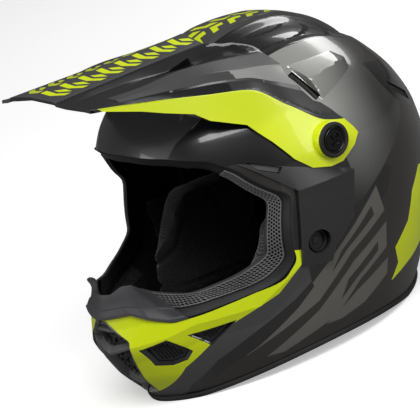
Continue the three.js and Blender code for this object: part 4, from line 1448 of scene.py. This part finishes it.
def perforated(name, side, outline, lift, pitch, share, material, node_name, wall=0.8, shrink=0.4,
    turn=0.0):
    """A fine mesh on the shell: an outline filled with small square holes."""
    shape = Outline(outline.view, grown(outline.flat, -shrink))
    rim = Outline(outline.view, grown(outline.flat, -shrink - 1.0))
    low, high = shape.flat.min(0), shape.flat.max(0)
    middle = (low + high) / 2
    reach = np.linalg.norm(high - low) / 2
    count = int(reach / pitch) + 1
    c, s = math.cos(turn), math.sin(turn)
    half = pitch * share / 2
    holes = []
    for i in range(-count, count + 1):
        for j in range(-count, count + 1):
            corners = [(i * pitch + a * half, j * pitch + b * half) for a,
                b in ((-1, -1), (1, -1), (1, 1), (-1, 1))]
            square = np.array([(x * c - y * s, x * s + y * c) for x, y in corners]) + middle
            if even_odd(square, rim.flat).all():
                holes.append(chart(lay(outline.view, square)))

    def surface(uv, extra):
        p = cast(uv)
        return p + base_normal(p) * (lift + extra)

    piece = chart_piece(
        name, surface, shape.loop(2.0), holes, [], 0.012, wall, [material], mirror=side, step=0.0006
    )
    return finish_piece(piece, "shell", [node_name], sharp=0)


def build_vents():
    for side in ("left", "right"):
        for name, outline, lift, pitch, turn in (
            ("chin_vent_front", FRONT_CHIN_VENT, -3.0, 1.9, 0.5),
            ("chin_vent_side", SIDE_CHIN_VENT, -2.4, 1.9, 0.5),
            ("rear_slot", REAR_SLOT, -1.4, 2.2, 0.3),
        ):
            perforated(
                f"{name}_mesh_{side}", side, Outline("side", outline, 1.2), lift, pitch, 0.68, MESH_BLACK,
                f"{name}_{side}", turn=turn,
            )
        plug = turned(
            f"plug_{side}",
            [(106.2, 0.01), (106.2, 9.2), (113.6, 9.3), (115.6, 9.0), (116.1, 8.4), (116.0, 7.7),
                (114.2, 7.2),
             (112.4, 6.9), (112.2, 3.6), (112.9, 3.0), (113.1, 0.01)],
            PLUG_Y, PLUG_Z, 1 if side == "left" else -1, TRIM_RUBBER,
        )
        finish_piece(plug, "shell", [f"anchor_plug_{side}"])


# ------------------------------------------------------------------ mouth vent


def ledge_outline(side_z, middle_z, thick, reach):
    half = [(-7, middle_z + 1.6 * 7 / reach), (0, middle_z), (reach, side_z), (reach, side_z + thick),
        (0, middle_z + thick), (-7, middle_z + thick)]
    return Outline("front", half)


def build_mouth_vent():
    # a rim round the opening, from the shell's edge inwards
    loop = Outline("front", grown(MOUTH_VENT, -0.35)).flat
    line = resampled(rounded(loop, 1.6), 2.2)
    line = line[line[:, 0] > 0.8]
    start = int(np.argmax(line[:, 1]))
    line = np.roll(line, -start, 0)
    out = lay("front", line)
    normal = base_normal(out)
    centre = np.array([0, 0, 38.0])
    inward = centre - out
    inward[:, 1] = 0
    inward /= np.linalg.norm(inward, axis=1, keepdims=True)
    rings = np.stack(
        [out + inward * a + normal * b for a, b in ((0, -8), (0, 0.1), (0.4, 0.6), (1.6, 0.5), (2.6,
            -0.6), (3.1, -8))], 1
    )
    ordered = np.argsort(np.unwrap(np.arctan2(line[:, 1] - 36, line[:, 0])))
    rings = rings[ordered]
    for side, sign in (("left", 1), ("right", -1)):
        rim = swept(f"mouth_rim_{side}", rings * [sign, 1, 1], VENT_GREY)
        finish_piece(rim, "shell")

    def ledge(name, side_z, middle_z, thick, reach, node_name):
        def surface(uv, lift):
            p = cast(uv)
            z = p[:, 2] - middle_z - (side_z - middle_z) * np.abs(p[:, 0]) / reach
            slope = -4.4 * ramp(z, 0.45 * thick, thick) - 1.6 * (1 - ramp(z, 0, 0.16 * thick))
            height = slope - 2.0 if lift == 0 else np.full(len(p), lift)
            return p + base_normal(p) * height[:, None]

        outline = ledge_outline(side_z, middle_z, thick, reach)
        bound = np.vstack([outline.flat[1:5]])
        bound = chart(lay("front", resampled(bound, 1.5, closed=True)))
        near = np.abs(directions(bound)[:, 0]) < 1e-3
        bound[near] = chart(lay("front", np.stack([np.zeros(near.sum()), cast(bound[near])[:, 2]], 1)))
        crease = laid_line("front", [(0, middle_z + 0.45 * thick), (reach, side_z + 0.45 * thick)])
        lip = laid_line("front", [(0, middle_z + 0.16 * thick), (reach, side_z + 0.16 * thick)])
        piece = chart_piece(
            name, surface, bound, [], [crease, lip], 0.012, 9.0, [VENT_GREY], mirror="both"
        )
        finish_piece(piece, "shell", node_name, sharp=0)

    ledge("mouth_ledge_upper", 45, 38, 7, 24, ["mouth_vent_frame"])
    ledge("mouth_ledge_lower", 8, 4, 6, 14.5, [])
    ledge("mouth_cap", 60, 61, 6, 13.5, [])

    # the grille behind, with raised angular blocks
    blocks = []
    for row in range(9):
        for column in range(4):
            x, z = 1.5 + 8 * column, -1 + 8.2 * row + (4 if column % 2 else 0)
            blocks.append([(x, z), (x + 5.4, z + 2.2), (x + 5.4, z + 6.2), (x + 2.6, z + 5.0),
                (x + 2.6, z + 3.4), (x, z + 2.4)])
    outlines = [Outline("front", block) for block in blocks]

    def surface(uv, lift):
        p = cast(uv)
        raised = np.zeros(len(p))
        for outline in outlines:
            raised = np.maximum(raised, ramp(outline.depth(p), 0, 0.4))
        height = -9.5 + 2.4 * raised if lift == 0 else np.full(len(p), -12.5)
        return p + base_normal(p) * height[:, None]

    shape = np.array([(0, 72), (8, 72), (27.5, 55), (26.5, 43), (14, -4), (0, -4)], float)
    bound = chart(lay("front", resampled(shape, 1.6, closed=True)))
    lines = []
    for outline in outlines:
        for flat in (outline.flat, grown(outline.flat, -0.4)):
            line = chart(lay("front", resampled(flat, 1.5, closed=True)))
            lines.append(np.vstack([line, line[:1]]))
    piece = chart_piece("mouth_grille_blocks", surface, bound, [], lines, 0.012, 3.0, [MESH_BLACK],
        mirror="both")
    finish_piece(piece, "shell", ["mouth_vent_grille"], sharp=0)


# ------------------------------------------------------------------ base trim and rear vent

BASE_PROFILE = [
    (-0.4, 0.1), (0.9, 0.0), (1.2, -0.5), (1.2, -3.0), (0.8, -3.9), (0.0, -4.1), (-4.6, -4.1),
    (-5.8, -3.8),
    (-6.4, -3.0), (-6.4, -0.6), (-6.0, 0.1), (-4.2, 0.2),
]


def build_base_trim():
    angles = np.linspace(0, 2 * math.pi, 260, endpoint=False)
    p = rim_line(angles)
    normal = base_normal(p)
    normal[:, 2] = 0
    normal /= np.linalg.norm(normal, axis=1, keepdims=True)
    base = RIM_HEIGHT - 4.0 + RIM_SLOPE * p[:, 1]
    rings = []
    for lift, drop in BASE_PROFILE:
        point = p + normal * lift
        point[:, 2] = np.maximum(rim_at(point[:, 1]) + drop, base)
        rings.append(point)
    trim = swept("base_trim_bead", np.stack(rings, 1), TRIM_RUBBER, closed_path=True)
    finish_piece(trim, "shell", ["base_trim"])


build_peak()
build_screws()
build_eyeport()
build_nose_guard()
build_covers()
build_vents()
build_mouth_vent()
build_base_trim()


# ------------------------------------------------------------------ rear exhaust, brow vents and scoop mesh


def back_point(flat):
    """The base surface's rear under (x, z) points."""
    x, z = flat[:, 0], flat[:, 1]
    width, back, _, widest, _ = section(z)
    share = np.minimum(np.abs(x) / width, 0.999)
    y = widest + (back - widest) * (1 - share**BACK_SQUARENESS) ** (1 / BACK_SQUARENESS)
    return np.stack([x, y, z], 1)


def build_exhaust():
    """A louvred outlet at the back: three recesses with slanted slats."""
    shape = rounded([(-22, 78), (22, 78), (30, 92), (18, 100), (-18, 100), (-30, 92)], 2)
    slots = [np.array([(x - 4, 82), (x + 4, 82), (x + 4, 96), (x - 4, 96)], float) for x in (-12, 0, 12)]
    closed = np.vstack([shape, shape[:1]])

    def surface(uv, lift):
        p = back_point(uv)
        if lift:
            return p + base_normal(p) * 0.4
        height = 0.6 + 3.8 * ramp(edge_distance(uv, closed), 0, 2.4)
        for slot in slots:
            ring = np.vstack([slot, slot[:1]])
            inside = even_odd(uv, slot)
            slat = 1.6 * (1 - np.abs(((uv[:, 1] - 82) / 3.5) % 1 * 2 - 1))
            deep = ramp(edge_distance(uv, ring), 0, 0.5)
            height = np.where(inside, height - deep * (3.2 - slat), height)
        return p + base_normal(p) * height[:, None]

    lines = []
    for slot in slots:
        for inset in (0, 0.5):
            line = resampled(grown(slot, -inset), 1.2, closed=True)
            lines.append(np.vstack([line, line[:1]]))
        for row in range(1, 8):
            z = 82 + 1.75 * row
            lines.append(resampled([(slot[0, 0] + 0.6, z), (slot[1, 0] - 0.6, z)], 1.2))
    line = resampled(grown(shape, -2.4), 1.8, closed=True)
    lines.append(np.vstack([line, line[:1]]))
    piece = chart_piece(
        "rear_exhaust_louvres", surface, resampled(shape, 1.8, closed=True), [], lines, 1.6, 1.0, [COVER],
        step=0.05, mirror="left",
    )
    finish_piece(piece, "shell", ["rear_exhaust"], sharp=0)


def build_inserts():
    for side in ("left", "right"):
        brow = Outline("side", BROW_VENT, 1)
        perforated(f"brow_vent_grid_{side}", side, brow, -2.2, 2.6, 0.6, VENT_GREY,
            f"brow_vent_{side}", turn=0.4)
        scoop = Outline("side", SCOOP_SLOT, 0.6)
        perforated(f"scoop_grid_{side}", side, scoop, -2.0, 1.8, 0.62, MESH_BLACK,
            f"scoop_mesh_{side}", turn=0.4)


# ------------------------------------------------------------------ linings


def from_row(points):
    return (np.asarray(points) * 1000 - STAND_SHIFT) @ STAND


def applied(obj):
    """Makes the object's modifiers permanent."""
    graph = bpy.context.evaluated_depsgraph_get()
    mesh = bpy.data.meshes.new_from_object(obj.evaluated_get(graph))
    obj.modifiers.clear()
    obj.data = mesh


def vertex_arrays(mesh):
    places = np.zeros(len(mesh.vertices) * 3)
    mesh.vertices.foreach_get("co", places)
    normals = np.zeros(len(mesh.vertices) * 3)
    mesh.vertex_normals.foreach_get("vector", normals)
    return places.reshape(-1, 3), normals.reshape(-1, 3)


def place_vertices(mesh, places):
    mesh.vertices.foreach_set("co", places.ravel())
    mesh.update()


PRESSURE_FRAMES = 14


def inflated(obj, start, cap):
    """Lets the skin swell under pressure, with each point moving no further than the cap."""
    scene = bpy.context.scene
    cloth = obj.modifiers.new("swell", "CLOTH")
    cloth.settings.use_pressure = True
    cloth.settings.uniform_pressure_force = 4
    cloth.settings.quality = 5
    cloth.settings.effector_weights.gravity = 0
    cloth.point_cache.frame_start = 1
    cloth.point_cache.frame_end = PRESSURE_FRAMES
    for frame_number in range(1, PRESSURE_FRAMES + 1):
        scene.frame_set(frame_number)
    swollen = obj.evaluated_get(bpy.context.evaluated_depsgraph_get()).data
    moved = vertex_arrays(swollen)[0] - start
    obj.modifiers.clear()
    scene.frame_set(1)
    far = np.maximum(np.linalg.norm(moved, axis=1, keepdims=True), 1e-9)
    return start + moved * np.minimum(1, cap / far)


def pad(name, node_name, seams, panels, cap=1.9, inset=1.9, voxel=4.0):
    """A stitched pad in the space of its solid: swollen, then drawn in along its seams.

    seams are (view, line, width, depth); panels are outlines whose faces are mesh cloth.
    """
    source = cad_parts[node_name]
    mesh = source.data.copy()
    mesh.transform(source.matrix_world)
    mesh.materials.clear()
    obj = bpy.data.objects.new(name, mesh)
    bpy.context.scene.collection.objects.link(obj)
    remesh = obj.modifiers.new("remesh", "REMESH")
    remesh.mode = "VOXEL"
    remesh.voxel_size = voxel / 1000
    applied(obj)
    places, normals = vertex_arrays(obj.data)
    start = places - normals * inset / 1000
    place_vertices(obj.data, start)
    place_vertices(obj.data, inflated(obj, start, cap / 1000))
    smooth = obj.modifiers.new("smooth", "SMOOTH")
    smooth.factor = 0.5
    smooth.iterations = 3
    obj.modifiers.new("finer", "SUBSURF").levels = 1
    applied(obj)
    places, normals = vertex_arrays(obj.data)
    p = from_row(places)
    drawn = np.zeros(len(p))
    for view, line, width, depth in seams:
        off = edge_distance(p[:, AXES[view]], np.array(line, float))
        drawn = np.maximum(drawn, depth * np.exp(-((off / width) ** 2)))
    place_vertices(obj.data, places - normals * drawn[:, None] / 1000)
    for material in (LINING, LINING_GREY):
        obj.data.materials.append(material)
    middle = from_row([tuple(face.center) for face in obj.data.polygons])
    cloth = np.zeros(len(middle), np.int32)
    for view, outline in panels:
        cloth[even_odd(middle[:, AXES[view]], np.array(outline, float))] = 1
    obj.data.polygons.foreach_set("material_index", cloth)
    obj.data.polygons.foreach_set("use_smooth", np.ones(len(cloth), bool))
    finish_piece(obj, "shell", [node_name], sharp=0)
    return obj


def mirrored(obj, name, node_name):
    mesh = obj.data.copy()
    mesh.transform(Matrix.Scale(-1, 4, (1, 0, 0)))
    mesh.flip_normals()
    other = bpy.data.objects.new(name, mesh)
    bpy.context.scene.collection.objects.link(other)
    finish_piece(other, "shell", [node_name], sharp=0)


def build_linings():
    cheek_panel = [(-88, 68), (-82, 58), (-52, 50), (24, 50), (28, 64), (22, 118), (-34, 118),
        (-44, 106), (-58, 84)]
    ring = [*cheek_panel, cheek_panel[0]]
    cheek = pad(
        "cheek_pad_cover_left", "cheek_pad_left",
        [("side", ring, 2.2, 2.4), ("side", [(-4, 50), (-10, 118)], 2.2, 2.0),
            ("side", [(-52, 50), (-40, 108)], 2.2, 1.6)],
        [("side", cheek_panel)], 2.2, 2.0,
    )
    mirrored(cheek, "cheek_pad_cover_right", "cheek_pad_right")
    pad("brow_pad_cover", "brow_pad", [("front", [(-80, 184), (0, 190), (80, 184)], 1.8, 1.4)], [],
        1.4, 1.4, 2.6)
    pad(
        "neck_roll_cover", "neck_roll",
        [("top", [(x, 40), (1.5 * x, 150)], 2.4, 2.2) for x in (-60, -36, -12, 12, 36, 60)], [], 2.0,
        1.8, 3.6,
    )
    pad(
        "crown_liner_cover", "crown_liner",
        [
            ("top", [(-26, -100), (-30, 120)], 2.6, 2.4), ("top", [(26, -100), (30, 120)], 2.6, 2.4),
            ("top", [(-62, -60), (-58, 90)], 2.6, 2.4), ("top", [(62, -60), (58, 90)], 2.6, 2.4),
            ("top", [(-100, -22), (100, -22)], 2.6, 2.0), ("top", [(-100, 44), (100, 44)], 2.6, 2.0),
            ("side", [(-90, 168), (130, 158)], 2.4, 2.0),
        ],
        [("top", [(-22, -16), (22, -16), (24, 38), (-24, 38)]),
            ("top", [(-56, -16), (-34, -16), (-34, 38), (-54, 38)]),
         ("top", [(34, -16), (56, -16), (54, 38), (34, 38)])], 2.0, 1.8, 4.6,
    )


# ------------------------------------------------------------------ chin strap

STRAP_Y = -38.0
SHORT_PATH = [(100.5, 112), (93, 90), (91.5, 56), (89, 38), (79.5, 28.8)]
LONG_PATH = [
    (-100.5, 112), (-93, 90), (-91.5, 56), (-89, 38), (-80, 26), (-62, 18), (-30, 13.5), (30, 12.6),
    (48, 12.8),
    (58, 14.6), (63.5, 18), (65, 23), (63.5, 28.5), (58, 31.4), (53, 29.5), (50.5, 25), (47, 19.5),
    (38, 16.3), (6, 15.8),
]
RING_X, RING_Z, RING_WIRE, RING_REACH, HALF_BAR = 75.2, 26.0, 1.55, 18.0, 14.0


def softened(path, steps=5):
    """An open path with its corners rounded."""
    p = np.asarray(path, float)
    out = [p[0]]
    for before, here, after in zip(p[:-2], p[1:-1], p[2:]):
        a = here + (before - here) * 0.4
        b = here + (after - here) * 0.4
        out += [(1 - t) ** 2 * a + 2 * t * (1 - t) * here + t * t * b for t in np.linspace(0, 1, steps)]
    return resampled([*out, p[-1]], 1.6)


def path_frame(path):
    along = np.gradient(path, axis=0)
    along /= np.linalg.norm(along, axis=1, keepdims=True)
    return np.stack([-along[:, 1], along[:, 0]], 1)


def ribbon(name, path, width, thick, closed_path=False):
    """Woven webbing along an (x, z) path: a flat section with rounded edges and fine ribs."""
    up = path_frame(path)
    half = width / 2
    across = np.linspace(-half + 0.5, half - 0.5, int(width) + 1)
    ribs = 0.5 * thick - 0.09 * (np.arange(len(across)) % 2)
    top = list(zip(across, ribs))
    under = [(a, -b) for a, b in top[::-1]]
    shape = [(-half, -0.22 * thick), (-half, 0.22 * thick), *top, (half, 0.22 * thick),
        (half, -0.22 * thick), *under]
    rings = []
    for (x, z), (ux, uz) in zip(path, up):
        rings.append([(x + ux * b, STRAP_Y + a, z + uz * b) for a, b in shape])
    return swept(name, rings, WEBBING, closed_path=closed_path)


def stitches(name, path, offsets, thick, start, end, body="strap"):
    """Thread in short raised dashes along a webbing path, on both its faces."""
    up = path_frame(path)
    run = np.concatenate([[0], np.cumsum(np.linalg.norm(np.diff(path, axis=0), axis=1))])
    points, faces = [], []
    pitch, length, radius = 3.2, 2.3, 0.3
    for k in range(int((end - start) / pitch)):
        for face in (1, -1):
            for offset in offsets:
                first = len(points)
                for s, size in ((0, 0.4), (0.25, 1), (0.75, 1), (1, 0.4)):
                    at = start + k * pitch + s * length
                    x = np.interp(at, run, path[:, 0])
                    z = np.interp(at, run, path[:, 1])
                    ux, uz = np.interp(at, run, up[:, 0]), np.interp(at, run, up[:, 1])
                    for turn in range(6):
                        c, sn = math.cos(turn * math.pi / 3), math.sin(turn * math.pi / 3)
                        lift = face * (0.5 * thick + 0.02) + radius * size * sn
                        points.append((x + ux * lift, STRAP_Y + offset + radius * size * c,
                            z + uz * lift))
                for ring in range(3):
                    for turn in range(6):
                        a, b = first + ring * 6 + turn, first + ring * 6 + (turn + 1) % 6
                        faces.append((a, b, b + 6, a + 6))
                faces.append(tuple(range(first + 5, first - 1, -1)))
                faces.append(tuple(range(first + 18, first + 24)))
    obj = make_object(name, points, faces, [THREAD])
    outward(obj)
    return finish_piece(obj, body, sharp=0)


def build_strap():
    short = softened(SHORT_PATH)
    long = softened(LONG_PATH)
    finish_piece(ribbon("strap_webbing_short", short, 22, 1.8), "strap", ["strap_short"])
    finish_piece(ribbon("strap_webbing_long", long, 22, 1.8), "strap", ["strap_long"])
    loop = circle(RING_X, RING_Z, 4.9, 30)
    finish_piece(ribbon("strap_ring_loop", loop, 21.6, 1.4, closed_path=True), "strap")
    stitches("strap_stitching_short", short, (-8.6, -3, 3, 8.6), 1.8, 62, 84)
    stitches("strap_stitching_long", long, (-8.8, 8.8), 1.8, 60, 112)
    sleeve = []
    for x in np.linspace(-30, -2, 15):
        puff = math.sin(math.pi * (x + 30) / 28) ** 0.4
        z = np.interp(x, [-30, 30], [13.5, 12.6]) + 0.3
        ring = []
        for k in range(28):
            turn = 2 * math.pi * k / 28
            c, sn = math.cos(turn), math.sin(turn)
            wide = 12.6 + 1.7 * puff
            tall = 2.3 + 1.3 * puff
            ring.append((x, STRAP_Y + wide * np.sign(c) * abs(c) ** 0.5,
                z + tall * np.sign(sn) * abs(sn) ** 0.7))
        sleeve.append(ring)
    piece = swept("strap_sleeve_pad", sleeve, LINING)
    piece.modifiers.new("finer", "SUBSURF").levels = 1
    finish_piece(piece, "strap", ["strap_sleeve"], sharp=0)
    snap = [
        (-1.2, 0.01), (-1.2, 6.3), (-0.8, 6.6), (0.1, 6.5), (0.9, 6.1), (1.2, 5.4), (1.2, 2.6),
        (0.7, 2.3), (0.7, 0.01)
    ]
    rings = []
    for k in range(40):
        turn = 2 * math.pi * k / 40
        rings.append([(16 + r * math.cos(turn), STRAP_Y + r * math.sin(turn), 18.4 + up) for up,
            r in snap])
    finish_piece(swept("strap_snap_cap", rings, STEEL, closed_path=True), "strap",
        ["strap_snap"])


def build_rings():
    """Two bent wire rings, each flat, with a straight bar and a round bow."""
    for name, bar_z, drop in (("inner", 24.0, 5.0), ("outer", 28.0, 1.0)):
        half = [(0, 0), (0, HALF_BAR - 3.2)]
        half += [(3.2 * t * t, HALF_BAR - 3.2 * (1 - t) ** 2) for t in np.linspace(0, 1, 7)[1:]]
        half.append((0.45 * RING_REACH, HALF_BAR))
        for t in np.linspace(0, 1, 15)[1:]:
            s = 1 - t
            out = RING_REACH * (0.45 * s**3 + 3 * 0.85 * s * s * t + 3 * s * t * t + t**3)
            along = HALF_BAR * (s**3 + 3 * s * s * t + 3 * 0.6 * s * t * t)
            half.append((out, along))
        half = np.array(half)
        loop = np.vstack([half, (half * [1, -1])[1:-1][::-1]])
        slope = drop / RING_REACH
        away = np.array([-1, 0, -slope]) / math.hypot(1, slope)
        up = np.array([-slope, 0, 1]) / math.hypot(1, slope)
        rings = []
        for i in range(len(loop)):
            step = loop[(i + 1) % len(loop)] - loop[i - 1]
            step /= np.linalg.norm(step)
            centre = np.array([RING_X, STRAP_Y + loop[i, 1], bar_z]) + away * loop[i, 0]
            side = away * step[1] + np.array([0, 1, 0]) * -step[0]
            turns = np.linspace(0, 2 * math.pi, 16, endpoint=False)
            rings.append([centre + RING_WIRE * (side * math.cos(t) + up * math.sin(t)) for t in turns])
        piece = swept(f"d_ring_wire_{name}", rings, STEEL, closed_path=True)
        finish_piece(piece, f"ring_{name}", [f"d_ring_{name}"], sharp=0)


def dress_nodes():
    """Better materials on the solids that keep their shape."""
    looks = {"foam_liner": FOAM, "chin_foam": FOAM, "peak_nut": VENT_GREY, "cheek_snap": VENT_GREY,
        "strap_anchor": STEEL}
    for name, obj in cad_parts.items():
        for start, material in looks.items():
            if name.startswith(start):
                for material_slot in obj.material_slots:
                    material_slot.material = material


build_exhaust()
build_inserts()
build_linings()
build_strap()
build_rings()
dress_nodes()


# ------------------------------------------------------------------ camera, light and floor

VIEW_DISTANCE = 2200
LENS, LENS_SHIFT = 226.474, (-0.068095, -0.075476)


def aim(obj, back, up):
    """Turns an object so that its -Z looks along -back and its +Y is near up."""
    right = np.cross(up, back)
    right /= np.linalg.norm(right)
    up = np.cross(back, right)
    obj.matrix_world = Matrix(
        [[*row, place] for row, place in zip(np.stack([right, up, back], 1), obj.location)]
        + [[0, 0, 0, 1]]
    )


def build_camera():
    """A long lens from the wearer's front left, a little above the eyes."""
    azimuth, elevation, pitch = math.radians(52.5), math.radians(6.1), math.radians(14)
    back = np.array([
        math.sin(azimuth) * math.cos(elevation), -math.cos(azimuth) * math.cos(elevation),
        math.sin(elevation)
    ])
    right = np.array([math.cos(azimuth), math.sin(azimuth), 0])
    up = np.cross(back, right)
    nod = np.array([
        [1, 0, 0], [0, math.cos(pitch), math.sin(pitch)], [0, -math.sin(pitch), math.cos(pitch)]
    ])
    back, up = nod @ back, nod @ up
    place = np.array([0, -20, 140]) + VIEW_DISTANCE * back
    data = bpy.data.cameras.new("view")
    camera = bpy.data.objects.new("view", data)
    bpy.context.scene.collection.objects.link(camera)
    data.sensor_width = 36
    data.lens = LENS
    data.shift_x, data.shift_y = LENS_SHIFT
    data.clip_end = 50
    camera.location = to_row(place)
    aim(camera, STAND @ back, STAND @ up)
    bpy.context.scene.camera = camera


def softbox(name, place, target, size, power, colour=(1, 1, 1)):
    data = bpy.data.lights.new(name, "AREA")
    data.shape = "RECTANGLE"
    data.size, data.size_y = size
    data.energy = power
    data.color = colour
    lamp = bpy.data.objects.new(name, data)
    bpy.context.scene.collection.objects.link(lamp)
    lamp.location = place
    back = np.array(place, float) - np.array(target, float)
    aim(lamp, back / np.linalg.norm(back), np.array([0.02, 0.03, 1.0]))


def build_stage():
    size = 6.0
    mesh = bpy.data.meshes.new("floor")
    mesh.from_pydata(
        [(-size, -size, 0), (size, -size, 0), (size, size, 0), (-size, size, 0)], [], [(0, 1, 2, 3)]
    )
    floor = bpy.data.objects.new("floor", mesh)
    bpy.context.scene.collection.objects.link(floor)
    look = Look("pale_floor", (0.9, 0.9, 0.9), 0.7)
    look.tint((0.92, 0.92, 0.92), 3.0)
    seen = look.tree.nodes.new("ShaderNodeLightPath").outputs["Is Camera Ray"]
    look.link(mix_colour(look.tree, seen, (0.2, 0.2, 0.2, 1), look.base), "Base Color")
    look.link(mix_colour(look.tree, seen, (0, 0, 0, 1), (1, 1, 1, 1)), "Emission Color")
    look.shader.inputs["Emission Strength"].default_value = 0.4
    look.grain(60.0, 0.05, 0.05, 0.0002)
    mesh.materials.append(look.material)
    world = bpy.data.worlds.new("studio")
    bpy.context.scene.world = world
    world.use_nodes = True
    tree = world.node_tree
    rays = tree.nodes.new("ShaderNodeLightPath").outputs["Is Camera Ray"]
    around = tree.nodes["Background"]
    around.inputs["Color"].default_value = (1, 1, 1, 1)
    strength = node(tree, "ShaderNodeMapRange", Value=rays)
    strength.inputs["To Min"].default_value = 0.09
    strength.inputs["To Max"].default_value = 1.0
    tree.links.new(strength.outputs[0], around.inputs["Strength"])
    middle = (0, 0, 0.14)
    softbox("key", (0.9, -0.7, 1.9), middle, (1.4, 1.0), 30)
    softbox("side", (2.0, 0.5, 0.9), middle, (0.5, 1.6), 16)
    softbox("front", (-0.7, -2.0, 0.8), middle, (1.2, 0.8), 12)
    softbox("back", (-0.4, 1.9, 1.3), middle, (1.6, 0.7), 16)
    bpy.context.scene.view_settings.view_transform = "Standard"


build_camera()
build_stage()
